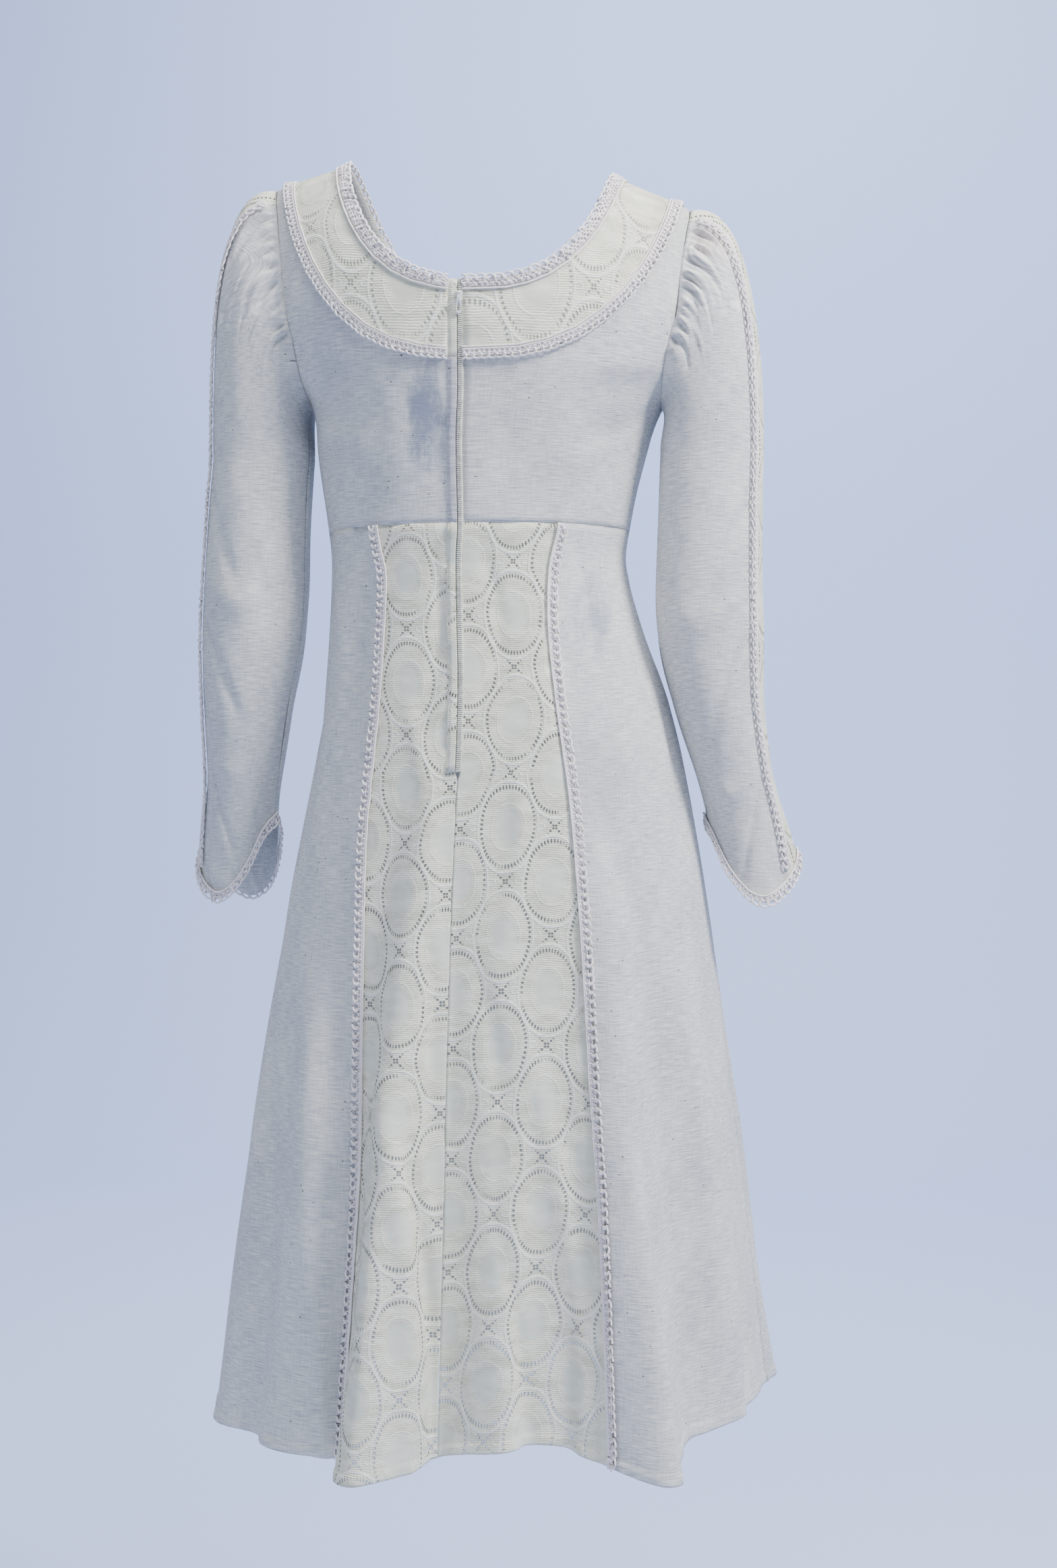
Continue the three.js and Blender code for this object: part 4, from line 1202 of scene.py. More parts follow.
@dataclass
class Bodice:
    """Back halves, front, lace collar and the collar's trims."""

    neck_width: float = 117.0
    neck_rise: float = 22.0
    collar_width: float = 172.0
    collar_lift: float = 1.4
    scoop: float = 2.5
    zip_half_gap: float = 2.0
    placket: float = 8.0
    collar_steps: int = 2
    yoke_steps: int = 5
    fine: int = 6
    yoke_angles: tuple[float, ...] = (14, 23, 32, 41, 49, 56, 62, 67, 72, 77, 81.5, 86, 90)
    chest_angles: tuple[float, ...] = (12, 26, 40, 55, 71, 90)
    armhole_angles: tuple[float, ...] = (155, 130, 105, 80, 55, 30, 0)
    heights: tuple[float, ...] = (-192, -218, -245, -272, -300)
    front_radius: float = 125.0
    creases_begin: tuple[float, float] = (95, 200)
    # The front has the same creases as the back
    creases: tuple[Crease, ...] = (
        Crease((-150, -178), (-70, -196), 11, -2.2),
        Crease((-158, -205), (-92, -240), 9, -1.8),
        Crease((-140, -235), (-60, -262), 10, 1.6),
        Crease((155, -180), (84, -200), 11, -2.2),
        Crease((160, -210), (96, -246), 9, -1.8),
        Crease((138, -238), (56, -270), 10, 1.4),
        Crease((-60, -190), (-48, -300), 13, 1.8),
        Crease((64, -196), (52, -300), 12, 1.6),
        Crease((-22, -215), (-18, -300), 7, -1.3),
        Crease((24, -222), (20, -300), 7, -1.2),
        Crease((-104, -215), (-96, -306), 8, -1.5),
        Crease((108, -220), (98, -306), 8, -1.6),
    )

    def band_place(self, turn: float, share: float) -> tuple[float, float]:
        """A place between the neckline, at share 0, and the collar's edge, at 1."""
        x = (self.neck_width + (self.collar_width - self.neck_width) * share) * math.sin(math.radians(turn))
        low = self.neck_rise * (1 - share)
        rise = low + (90 - low) * (turn / 90) ** self.scoop
        height = BLADE_HEIGHT + (rise / 90) * (SHOULDER_TOP - BLADE_HEIGHT)
        return float(Body.angle_at(x, height)), height

    def armhole_place(self, turn: float) -> tuple[float, float]:
        """A place on the armhole, from the shoulder point at 0 to the underarm at 180."""
        middle = (ARMHOLE_TOP + UNDERARM) / 2
        z = middle + (ARMHOLE_TOP - middle) * math.cos(math.radians(turn))
        x = float(ARMHOLE.at("width", z))
        if z <= BLADE_HEIGHT:
            return (90.0 if turn >= 180 else float(Body.angle_at(x, z))), z
        rise = (z - BLADE_HEIGHT) / (float(Body.shoulder_height(np.array(x))) - BLADE_HEIGHT)
        share = math.asin(min(1, rise)) / (math.pi / 2)
        height = SHOULDER_TOP if turn == 0 else BLADE_HEIGHT + (SHOULDER_TOP - BLADE_HEIGHT) * share
        return float(Body.angle_at(x, height)), height

    def zip_column(self, side: Side, offset: float, heights: list[float]) -> list[tuple[float, float]]:
        """A column that keeps its distance from the centre back seam."""
        away = [SEAMS.at("centre", height) + side.value * offset for height in heights]
        return [(side.value * float(Body.angle_at(x, h)), h) for x, h in zip(away, heights)]

    def half(self, side: Side, front: bool) -> tuple[np.ndarray, np.ndarray]:
        """The places of the yoke and of the bodice below it, on one side.

        Args:
            side: Which side.
            front: Whether it is the front.

        Returns:
            Two grids of angle, always positive, and height.
        """
        ends = [(float(angle), UNDERARM) for angle in self.chest_angles]
        ends += [self.armhole_place(turn) for turn in self.armhole_angles]
        turns = list(self.yoke_angles)
        chest = [float(angle) for angle in self.chest_angles]
        if front:
            turns, ends, chest = [0.0, *turns], [(0.0, UNDERARM), *ends], [0.0, *chest]
        columns = [self.yoke_column(turn, end) for turn, end in zip(turns, ends)]
        below = [[(angle, float(h)) for h in self.heights] for angle in chest]
        if not front:
            levels = [height for _, height in self.yoke_column(0.0, (0.0, UNDERARM))]
            offsets = [self.zip_half_gap + self.placket, self.zip_half_gap]
            for offset in offsets if side is Side.LEFT else offsets[1:]:
                for grid, heights in ((columns, levels), (below, list(self.heights))):
                    grid.insert(0, self.zip_column(side, offset, heights))
        return np.array(columns).transpose(1, 0, 2), np.array(below).transpose(1, 0, 2)

    def yoke_column(self, turn: float, end: tuple[float, float]) -> list[tuple[float, float]]:
        """One column from the neckline to its end at the chest line or the armhole."""
        column = [self.band_place(turn, step / self.collar_steps) for step in range(self.collar_steps + 1)]
        edge = column[-1]
        for step in range(1, self.yoke_steps + 1):
            share = step / self.yoke_steps
            column.append((edge[0] + (end[0] - edge[0]) * share, edge[1] + (end[1] - edge[1]) * share))
        return column

    def sheets(self, side: Side, front: bool) -> list[Sheet]:
        """The two fine grids of one half, with its creases and soft unevenness."""
        made = []
        for places in self.half(side, front):
            fine = refined(places, self.fine, self.fine)
            signed = fine.copy()
            signed[..., 0] = side.value * np.where(front, 180 - fine[..., 0], fine[..., 0])
            grain = Body.grain(signed)
            if front:
                # The front's threads run on across its centre
                across = side.value * np.radians(fine[..., 0]) * self.front_radius
                grain = np.stack([across, grain[..., 1]], axis=-1)
            facing = side.value * (-1 if front else 1)
            sheet = Sheet(Body.point(signed), grain, facing, Body.normals(signed))
            shown = smoothstep(-signed[..., 1], *self.creases_begin)
            lift = creased(grain, self.creases) + 0.5 * ripple(grain[..., 0], grain[..., 1], 70, 3)
            made.append(sheet.push(lift * shown))
        return made

    def build(self, kit: Finishes) -> dict[str, list[Sheet]]:
        """Makes the bodice's pieces and gives its grids by name."""
        grids = {
            side.word + end: self.sheets(side, end == "_front")
            for side in Side
            for end in ("_back", "_front")
        }
        for side in Side:
            node = "bodice_back_" + side.word
            sheets = grids[side.word + "_back"]
            piece = declare(cloth(node + "_cloth", sheets, LINEN_WALL, kit.linen), (node,))
            state_sheets(sheets)
        fronts = grids["left_front"] + grids["right_front"]
        piece = cloth("bodice_front_cloth", fronts, LINEN_WALL, kit.linen)
        declare(piece, ("bodice_front",))
        state_sheets(fronts)
        self.collar(kit, grids)
        return grids

    def collar(self, kit: Finishes, grids: dict[str, list[Sheet]]) -> None:
        """The lace band and the trims on its two edges."""
        rows = slice(0, self.collar_steps * self.fine + 1)
        for side in Side:
            skip = self.fine if side is Side.LEFT else 0
            band = grids[side.word + "_back"][0].part(rows, slice(skip, None))
            self.collar_piece(kit, "back_" + side.word, [band])
        halves = [grids[side.word + "_front"][0].part(rows, slice(None)) for side in Side]
        self.collar_piece(kit, "front", halves)

    def collar_piece(self, kit: Finishes, name: str, bands: list[Sheet]) -> None:
        """One piece of the collar with its two trims."""
        node = "collar_" + name
        piece = cloth(node + "_lace", bands, LACE_WALL, kit.backed_lace, self.collar_lift)
        declare(piece, (node,))
        widths, lengths, areas = zip(*(band.spans() for band in bands))
        for word, stitches, row, inside, seed in (
            ("neck", NECK_STITCHES, 0, 2, 11),
            ("collar", COLLAR_STITCHES, -1, -3, 23),
        ):
            lines = [self.joined(bands, "points", at) for at in (row, inside)]
            normals = self.joined(bands, "normals", row)
            edge = Edge.of(lines[0], lines[1], normals)
            trim = CrochetTrim(f"{word}_trim_{name}", edge, stitches, seed + len(name))
            trim.build(kit, [piece.name])

    @staticmethod
    def joined(bands: list[Sheet], what: str, row: int) -> np.ndarray:
        """One row of a band, or of two halves that meet at the centre front."""
        lines = [getattr(band, what)[row] for band in bands]
        return lines[0] if len(lines) == 1 else np.concatenate([lines[0][::-1], lines[1][1:]])


# The two halves of the lace aren't matched at the centre
LACE_SHIFTS = {"skirt_lace_left": (5.0, 0.0), "skirt_lace_right": (-5.0, 33.0)}
# Across from the seam with the lace, or from the centre, and down from the empire seam
SKIRT_CREASES: dict[str, tuple[Crease, ...]] = {
    "skirt_side_back_left": (
        Crease((-20, -8), (-34, -130), 7, -2.8),
        Crease((-62, -40), (-48, -210), 11, 3.0),
        Crease((-26, -250), (-44, -540), 16, -5.4),
        Crease((-17, -420), (-30, -1060), 13, -9.8),
        Crease((-70, -330), (-114, -1060), 24, 7.5),
        Crease((-128, -360), (-198, -1060), 18, -6.8),
        Crease((-118, -110), (-98, -320), 12, -3.0),
        Crease((-46, -560), (-61, -1060), 9, 4.5),
    ),
    "skirt_lace_left": (
        Crease((-20, -20), (-34, -170), 7, -2.1),
        Crease((-48, -140), (-30, -330), 9, 2.1),
        Crease((-22, -330), (-34, -560), 10, -3.9),
        Crease((-34, -520), (-47, -1060), 9, -9.0),
        Crease((-66, -430), (-99, -1060), 14, 6.0),
        Crease((-12, -560), (-17, -1060), 8, 3.9),
    ),
    "skirt_lace_right": (
        Crease((14, -12), (26, -140), 7, -2.1),
        Crease((46, -200), (34, -380), 9, 2.1),
        Crease((22, -360), (30, -640), 12, -4.5),
        Crease((62, -420), (91, -1060), 13, 5.1),
        Crease((44, -560), (58, -1060), 9, -4.8),
    ),
    "skirt_side_back_right": (
        Crease((16, -10), (34, -120), 7, -2.5),
        Crease((58, -60), (44, -230), 11, 3.0),
        Crease((22, -240), (34, -520), 14, -3.7),
        Crease((26, -470), (50, -1060), 16, -8.2),
        Crease((66, -330), (110, -1060), 22, 7.2),
        Crease((112, -120), (94, -310), 12, -2.8),
        Crease((124, -380), (188, -1060), 18, -6.3),
    ),
    "skirt_front": (
        Crease((-40, -20), (-64, -260), 12, -3.0),
        Crease((52, -30), (70, -280), 12, 3.0),
        Crease((-96, -300), (-149, -1060), 20, -6.9),
        Crease((-30, -340), (-54, -1060), 18, 6.3),
        Crease((38, -380), (66, -1060), 17, -6.9),
        Crease((110, -300), (162, -1060), 22, 6.6),
        Crease((176, -420), (232, -1060), 18, -5.7),
        Crease((-176, -400), (-237, -1060), 18, 5.7),
    ),
}


@dataclass
class Skirt:
    """Lace panels, linen sides and front, and the trims on the seams between them."""

    rows: int = 112
    hem_rows: int = 18
    hem_share: float = 0.045
    levels: tuple[float, float] = (-300.0, -1052.0)
    hem_depth: float = 9.0
    seam_gap: float = 0.12

    @classmethod
    def level_rows(cls) -> np.ndarray:
        """The levels of the grids' rows, closer together at the hem."""
        shares = np.linspace(0, 1 - cls.hem_share, cls.rows + 1)
        shares = np.concatenate([shares, np.linspace(1 - cls.hem_share, 1, cls.hem_rows + 1)[1:]])
        return cls.levels[0] + (cls.levels[1] - cls.levels[0]) * shares

    def height(self, angle: np.ndarray, level: np.ndarray) -> np.ndarray:
        """The height of a level, which runs from the empire seam to the hem."""
        share = (level - self.levels[0]) / (self.levels[1] - self.levels[0])
        return EMPIRE + (HEM.at("height", (angle + 180) % 360 - 180) - EMPIRE) * share

    def seam(self, key: str, level: np.ndarray, offset: np.ndarray | float = 0.0) -> np.ndarray:
        """The angle of a seam at each level."""
        return Body.angle_at(SEAMS.at(key, level) + offset, level)

    def panel(
        self, name: str, left: np.ndarray, right: np.ndarray, columns: int, origin: int, seed: int
    ) -> Sheet:
        """A fine grid between two seams.

        Args:
            name: The panel, which picks its creases.
            left: The angle of the left seam at each level.
            right: The angle of the right seam.
            columns: How many steps across.
            origin: The column that the grain is measured from.
            seed: Picks the soft unevenness.

        Returns:
            The sheet, with its creases, its puckered seams and its turned hem.
        """
        level = self.level_rows()[:, None]
        share = np.linspace(0, 1, columns + 1)[None]
        angle = left[:, None] * (1 - share) + right[:, None] * share
        points = Body.point(np.stack([angle, self.height(angle, level + 0 * angle)], axis=-1))
        sheet = Sheet(points, measured_grain(points, origin))
        u, v = sheet.grain[..., 0], sheet.grain[..., 1]
        lift = creased(sheet.grain, SKIRT_CREASES[name]) + 1.3 * ripple(u, v * 0.5, 85, seed)
        lift += 2.2 * smoothstep(-v, 150, 700) * ripple(u, v * 0.22, 52, seed + 1)
        edge = np.minimum(share, 1 - share) * np.abs(u[:, -1:] - u[:, :1])
        lift *= smoothstep(edge, 0, 14)
        puckers = np.exp(-((edge / 7) ** 2)) * 0.45 * ripple(u * 0.2, v, 17, seed + 2)
        from_hem = (v - v[-1:]) + 0 * u
        roll = 0.9 * smoothstep(-from_hem, -self.hem_depth - 1.5, -self.hem_depth + 1.5)
        groove = -0.5 * np.exp(-(((from_hem - self.hem_depth) / 1.3) ** 2))
        wavy = 0.8 * np.exp(-from_hem / 16) * ripple(u, v * 0.2, 21, seed + 3)
        return sheet.push(lift + puckers + roll + groove + wavy)

    def build(self, kit: Finishes) -> dict[str, Sheet]:
        """Makes the skirt's pieces and gives its grids by name."""
        level = self.level_rows()
        gap = np.where(level >= ZIP_END, Bodice.zip_half_gap, self.seam_gap)
        left, right = self.seam("lace_left", level), self.seam("lace_right", level)
        centre_left, centre_right = self.seam("centre", level, -gap), self.seam("centre", level, gap)
        flank = np.full(len(level), SIDE_SEAM)
        # Each panel's two seams, its columns, the column that its grain starts from and its seed
        panels = {
            name: self.panel(name, *rest)
            for name, *rest in (
                ("skirt_side_back_left", -flank, left, 70, 70, 41),
                ("skirt_lace_left", left, centre_left, 56, 56, 52),
                ("skirt_lace_right", centre_right, right, 62, 0, 63),
                ("skirt_side_back_right", right, flank, 70, 0, 74),
                ("skirt_front", flank, 360 - flank, 112, 56, 85),
            )
        }
        for name, shift in LACE_SHIFTS.items():
            panels[name].grain = panels[name].grain + np.array(shift)
        for name, sheet in panels.items():
            lace = "lace" in name
            finish, wall = (kit.free_lace, LACE_WALL) if lace else (kit.linen, LINEN_WALL)
            label = name + ("_panel" if lace else "_cloth")
            piece = declare(cloth(label, [sheet], wall, finish), (name,))
            state_sheets([sheet])
        for side, seam_column, next_column, lace_column in (("left", -1, -2, 0), ("right", 0, 1, -1)):
            outer, inner = panels["skirt_side_back_" + side], panels["skirt_lace_" + side]
            line, normals = outer.points[:, seam_column], outer.normals[:, seam_column]
            edge = Edge.toward(line, normals + inner.normals[:, lace_column], outer.points[:, next_column])
            rests = [f"skirt_side_back_{side}_cloth", f"skirt_lace_{side}_panel"]
            CrochetTrim("skirt_trim_" + side, edge, SEAM_STITCHES, 31 + seam_column).build(kit, rests)
        return panels


@dataclass
class Sleeve:
    """One long sleeve: linen back and front, a lace strip with trims, and a crochet cuff edge."""

    side: Side
    strip: float = 34.0
    head_rows: int = 54
    tube_rows: int = 84
    gather_end: float = 112.0
    gather_depth: float = 4.2
    gathered_columns: int = 59
    calm_columns: int = 19
    strip_columns: int = 25
    tube_top: float = -235.0
    flare: float = 9.0
    trim_ends: int = 3
    # Placed by turn, as an arc, and by distance down the sleeve
    creases: tuple[Crease, ...] = (
        Crease((20, -215), (70, -265), 8, -2.2),
        Crease((95, -240), (35, -300), 9, 2.0),
        Crease((24, -330), (88, -372), 8, -2.4),
        Crease((90, -395), (40, -440), 7, 2.0),
        Crease((30, -450), (84, -492), 6, -2.2),
        Crease((78, -505), (36, -540), 5, 1.8),
        Crease((30, -548), (80, -580), 5, -1.8),
        Crease((-24, -230), (-76, -282), 8, -2.2),
        Crease((-92, -262), (-36, -318), 9, 2.0),
        Crease((-30, -352), (-86, -392), 8, -2.4),
        Crease((-84, -420), (-36, -468), 7, 1.9),
        Crease((-34, -486), (-80, -530), 6, -2.2),
        Crease((-76, -545), (-36, -585), 5, 1.6),
    )

    @property
    def twist(self) -> float:
        """How far the sleeve's section is turned, in degrees."""
        return 12.0 if self.side is Side.LEFT else 0.0

    def tube(self, turn: np.ndarray, height: np.ndarray) -> np.ndarray:
        """Points of the tube below the armhole."""
        angle = np.radians(turn - self.twist)
        low = smoothstep(-height, 500, 576)
        outward = np.maximum(0, np.cos(np.radians(turn))) ** 4
        reach = SLEEVE.at("width", height) * np.cos(angle) + self.flare * low * outward
        x = SLEEVE.at(self.side.word, height) + self.side.value * reach
        y = SLEEVE.at("lean", height) - SLEEVE.at("depth", height) * np.sin(angle)
        return np.stack([x, y, height + 0 * x], axis=-1)

    def armhole(self, turn: np.ndarray, bodice: Bodice) -> np.ndarray:
        """Points of the armhole seam, a little outside the bodice's edge."""
        places = np.array([bodice.armhole_place(float(abs(t))) for t in turn])
        angle = np.where(turn < 0, 180 - places[:, 0], places[:, 0])
        signed = np.stack([self.side.value * angle, places[:, 1]], axis=-1)
        return Body.point(signed) + np.array([self.side.value * 0.5, 0, 0])

    def head(self, turn: np.ndarray, share: np.ndarray, bodice: Bodice) -> np.ndarray:
        """Points of the head, which springs out from the armhole and falls into the tube."""
        start = self.armhole(turn, bodice)
        end = self.tube(turn, np.full(len(turn), self.tube_top))
        down = (1 - np.cos(np.radians(turn))) / 2
        outward = self.side.value * (0.98 - 0.38 * down)
        spring = unit(np.stack([outward, -0.25 * np.sin(np.radians(turn)), 0.2 - down], axis=-1))
        span = np.linalg.norm(end - start, axis=-1, keepdims=True)
        first = start + spring * 0.25 * span
        second = end + np.stack([0 * turn, 0 * turn, 0.42 * (start[:, 2] - end[:, 2])], axis=-1)
        t = share[:, None, None]
        ends = (1 - t) ** 3 * start + t**3 * end
        return ends + 3 * t * (1 - t) ** 2 * first + 3 * t**2 * (1 - t) * second

    def gathers_lift(self, turn: np.ndarray, along: np.ndarray) -> np.ndarray:
        """The head's gathers: uneven ridges that leave the armhole seam and fade below it."""
        around = np.abs(turn)
        first = self.strip + 5.5
        column = (around - first) / ((self.gather_end - first) / 12)
        inside = smoothstep(column, -0.6, 0.6) * (1 - smoothstep(column, 12, 14))
        uneven = 0.4 * np.sin(column * 1.7 + self.side.value) + 0.3 * np.sin(column * 0.9 + np.sign(turn))
        uneven = uneven + 0.5 * np.sin(along * 9 + column)
        waves = -np.cos(math.pi * (column + uneven))
        small = 0.35 * np.cos(math.pi * (2.3 * column + 1.2))
        grow = smoothstep(along, 0, 0.1)
        length = 0.34 + 0.14 * np.sin(column * 2.3) + 0.06 * np.sin(column * 5.1)
        fade = np.clip(1 - along / length, 0, 1) ** 0.8
        ruck = 1.6 * small * np.clip(1 - along / 0.24, 0, 1)
        return self.gather_depth * grow * inside * (waves * fade + ruck)

    def sheet(self, turns: np.ndarray, bodice: Bodice, seed: int) -> Sheet:
        """A fine grid of the sleeve between its first and last turn.

        Args:
            turns: Angles round the arm, from the outside, in degrees.
            bodice: The bodice, for its armhole.
            seed: Picks the soft unevenness.

        Returns:
            The sheet, from the armhole seam to the cuff.
        """
        shares = np.linspace(0, 1, self.head_rows + 1)
        upper = self.head(turns, shares, bodice)
        lower_share = np.linspace(0, 1, self.tube_rows + 1)[1:, None]
        cuff = CUFF.at("height", np.abs(turns))[None]
        heights = self.tube_top + (cuff - self.tube_top) * lower_share
        lower = self.tube(np.broadcast_to(turns, heights.shape), heights)
        points = np.concatenate([upper, lower])
        middle = int(np.argmin(np.abs(turns)))
        facing = self.side.value * (1 if turns[-1] < turns[0] else -1)
        sheet = Sheet(points, measured_grain(points, middle), -facing)
        centre = SLEEVE.at(self.side.word, -300.0)
        tube = slice(self.head_rows, None)
        outward = sheet.normals[tube, :, 0] * (points[tube, :, 0] - centre)
        outward = outward + sheet.normals[tube, :, 1] * points[tube, :, 1]
        if outward.sum() < 0:
            sheet = Sheet(points, sheet.grain, facing)
        along = np.concatenate([shares, np.ones(self.tube_rows)])[:, None] + 0 * turns
        turn = turns[None] + 0 * along
        down = sheet.grain[..., 1]
        arc = turn * 0.75
        place = np.stack([arc, down], axis=-1)
        lift = self.gathers_lift(turn, along) * (along < 1)
        edge = smoothstep(np.abs(np.abs(turn) - self.strip), 0, 10)
        lift = lift + creased(place, self.creases) * edge
        lift += 0.8 * edge * smoothstep(-down, 20, 150) * ripple(arc, down, 60, seed)
        from_cuff = down - down[-1:]
        lift += 0.7 * smoothstep(-from_cuff, -7, -4)
        return sheet.push(lift)

    def build(self, kit: Finishes, bodice: Bodice) -> None:
        """Makes the sleeve's pieces."""
        name = "sleeve_" + self.side.word
        seed = 200 + self.side.value
        gathered = np.linspace(self.strip, self.gather_end, self.gathered_columns)
        calm = np.linspace(self.gather_end, 180, self.calm_columns)
        back_turns = np.concatenate([gathered, calm[1:]])
        strip_turns = np.linspace(-self.strip, self.strip, self.strip_columns)
        sheets = {
            "back": self.sheet(back_turns, bodice, seed),
            "front": self.sheet(-back_turns, bodice, seed + 7),
            "lace": self.sheet(strip_turns, bodice, seed + 9),
        }
        for part in ("back", "front"):
            # The threads lie level round the arm and turn over the shoulder
            points = sheets[part].points
            over = 0.4 * self.side.value * points[..., 0] * smoothstep(points[..., 2], -130, -50)
            sheets[part].grain = np.stack([sheets[part].grain[..., 0], points[..., 2] - over], axis=-1)
        for part, sheet in sheets.items():
            lace = part == "lace"
            finish, wall = (kit.free_lace, LACE_WALL) if lace else (kit.linen, LINEN_WALL)
            node = name + "_" + part
            label = node + ("_strip" if lace else "_cloth")
            piece = declare(cloth(label, [sheet], wall, finish), (node,))
            state_sheets([sheet])
        rows = slice(self.trim_ends, -self.trim_ends)
        for part, column in (("back", -1), ("front", 0)):
            line, normals = sheets["lace"].points[rows, column], sheets["lace"].normals[rows, column]
            beside = sheets[part].points[rows, 1]
            edge = Edge.toward(line, normals + sheets[part].normals[rows, 0], beside)
            trim = CrochetTrim(f"{name}_trim_{part}", edge, SEAM_STITCHES, 300 + column)
            trim.build(kit, [f"{name}_{part}_cloth", f"{name}_lace_strip"])
        ring = [sheets["front"], sheets["lace"], sheets["back"]]
        order = [slice(None, None, -1), slice(1, None), slice(1, None)]
        lines = [
            np.concatenate([getattr(sheet, what)[row][cut] for sheet, cut in zip(ring, order)])
            for what, row in (("points", -1), ("points", -4), ("normals", -1))
        ]
        trim = CrochetTrim("cuff_trim_" + self.side.word, Edge.of(*lines), CUFF_STITCHES, 400)
        trim.build(kit, [name + "_back_cloth"])


@dataclass
class Zip:
    """The centre back zip: tape, coil, placket fold, slider and pull."""

    coil_radius: float = 1.15
    coil_pitch: float = 1.7
    coil_steps: int = 6
    tape: tuple[float, float] = (0.1, 4.9)
    tape_wall: float = 0.6
    placket: tuple[float, float] = (-8.4, -0.2)
    placket_columns: int = 10
    placket_wall: float = 0.9
    slider_length: float = 9.0
    slider_depth: float = 2.1
    pull_length: float = 17.0
    pull_depth: float = 1.4

    def edges(self, bodice: dict[str, list[Sheet]], skirt: dict[str, Sheet]) -> dict[str, np.ndarray]:
        """The two edges of the opening and their normals, from the neckline down to the zip's end."""
        count = int(np.sum(Skirt.level_rows() >= ZIP_END))
        made = {}
        for side, panel, column in (("left", "skirt_lace_left", -1), ("right", "skirt_lace_right", 0)):
            yoke, chest = bodice[side + "_back"]
            for what in ("points", "normals"):
                parts = [getattr(yoke, what)[:-1, 0], getattr(chest, what)[:-1, 0]]
                parts.append(getattr(skirt[panel], what)[:count, column])
                made[side + "_" + what] = np.concatenate(parts)
        return made

    def strip(
        self, edge: dict[str, np.ndarray], ends: tuple[float, float], lift: float, steps: int
    ) -> Sheet:
        """A narrow sheet beside the opening's left edge.

        Args:
            edge: The opening's two edges.
            ends: Where it starts and ends, from the left edge toward the right one.
            lift: How far it stands off the cloth.
            steps: How many columns it has.

        Returns:
            The sheet.
        """
        line, normals = edge["left_points"], edge["left_normals"]
        toward = unit(edge["right_points"] - edge["left_points"])
        places = np.linspace(*ends, steps)
        points = np.stack([line + toward * place + normals * lift for place in places], axis=1)
        return Sheet(points, measured_grain(points, 0))

    def build(self, kit: Finishes, bodice: dict[str, list[Sheet]], skirt: dict[str, Sheet]) -> None:
        """Makes the zip's pieces."""
        edge = self.edges(bodice, skirt)
        coil = Yarn()
        middle = (edge["left_points"] + edge["right_points"]) / 2
        out = unit(edge["left_normals"] + edge["right_normals"])
        line = Edge(middle, out, unit(edge["right_points"] - edge["left_points"]))
        fine = line.even(self.coil_pitch / self.coil_steps)
        turn = np.arange(len(fine.line)) * 2 * math.pi / self.coil_steps
        for side in Side:
            start = math.pi if side is Side.RIGHT else 0.0
            across = side.value * (0.95 + self.coil_radius * np.cos(turn + start)) + 0.7
            coil.tube(fine.offset(across, 1.55 + 0.55 * np.sin(turn)), 0.46)
        teeth = declare(coil.make("zip_coil", kit.nylon), ())
        tape = self.strip(edge, self.tape, 0.5, 4)
        piece = declare(cloth("zip_tape", [tape], self.tape_wall, kit.nylon), ("zip_chain",))
        width, length, area = tape.spans()
        self.folds(kit, edge)
        self.slider(kit)
        self.pull(kit)

    def folds(self, kit: Finishes, edge: dict[str, np.ndarray]) -> None:
        """The placket that laps the zip on its left side, in three pieces, with its roll and stitching."""
        collar = Bodice.collar_steps * Bodice.fine + 1
        body = collar + (Bodice.yoke_steps + len(Bodice.heights) - 1) * Bodice.fine
        for name, first, last, finish, slot, seed in (
            ("placket_collar", 0, collar, kit.backed_lace, "lace", 5),
            # The bodice's placket uses the darker linen, partly painted shade of its fold
            ("placket_bodice", collar - 1, body, kit.worn_and_shaded_linen, "linen", 6),
            ("placket_skirt", body - 1, len(edge["left_points"]), kit.free_lace, "lace", 7),
        ):
            part = {key: value[first:last] for key, value in edge.items()}
            sheet = self.strip(part, self.placket, 1.2, self.placket_columns)
            share = np.linspace(0, 1, self.placket_columns)[None] + 0 * sheet.points[..., 0]
            down = sheet.grain[..., 1]
            roll = 0.9 * np.sin(math.pi * share**0.7) + 0.35 * ripple(down, share * 8, 26, seed)
            stitched = 0.9 * np.exp(-(((share - 0.24) / 0.08) ** 2)) + 0.8 * (share == 0)
            # Each piece shows another part of its cloth's pattern
            sheet.grain = sheet.grain + np.array([-12.0, -60.0 * seed])
            sheet.push(roll + 1.9 * share - 0.8 - stitched)
            piece = declare(cloth(name + "_fold", [sheet], self.placket_wall, finish), (name,))
            sheet.spans()

    @staticmethod
    def room(node: str) -> tuple[np.ndarray, np.ndarray]:
        """The middle and the size of a node's box, in millimetres."""
        low, high = (np.array(corner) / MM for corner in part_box(node))
        return (low + high) / 2, high - low

    @staticmethod
    def rounded(width: float, length: float, corners: tuple[float, float]) -> tuple[np.ndarray, np.ndarray]:
        """Places across and along a rounded outline, which is squarer where the corners are smaller."""
        turns = np.linspace(0, 2 * math.pi, 40, endpoint=False)
        return power(np.cos(turns), corners[0]) * width / 2, power(np.sin(turns), corners[1]) * length / 2

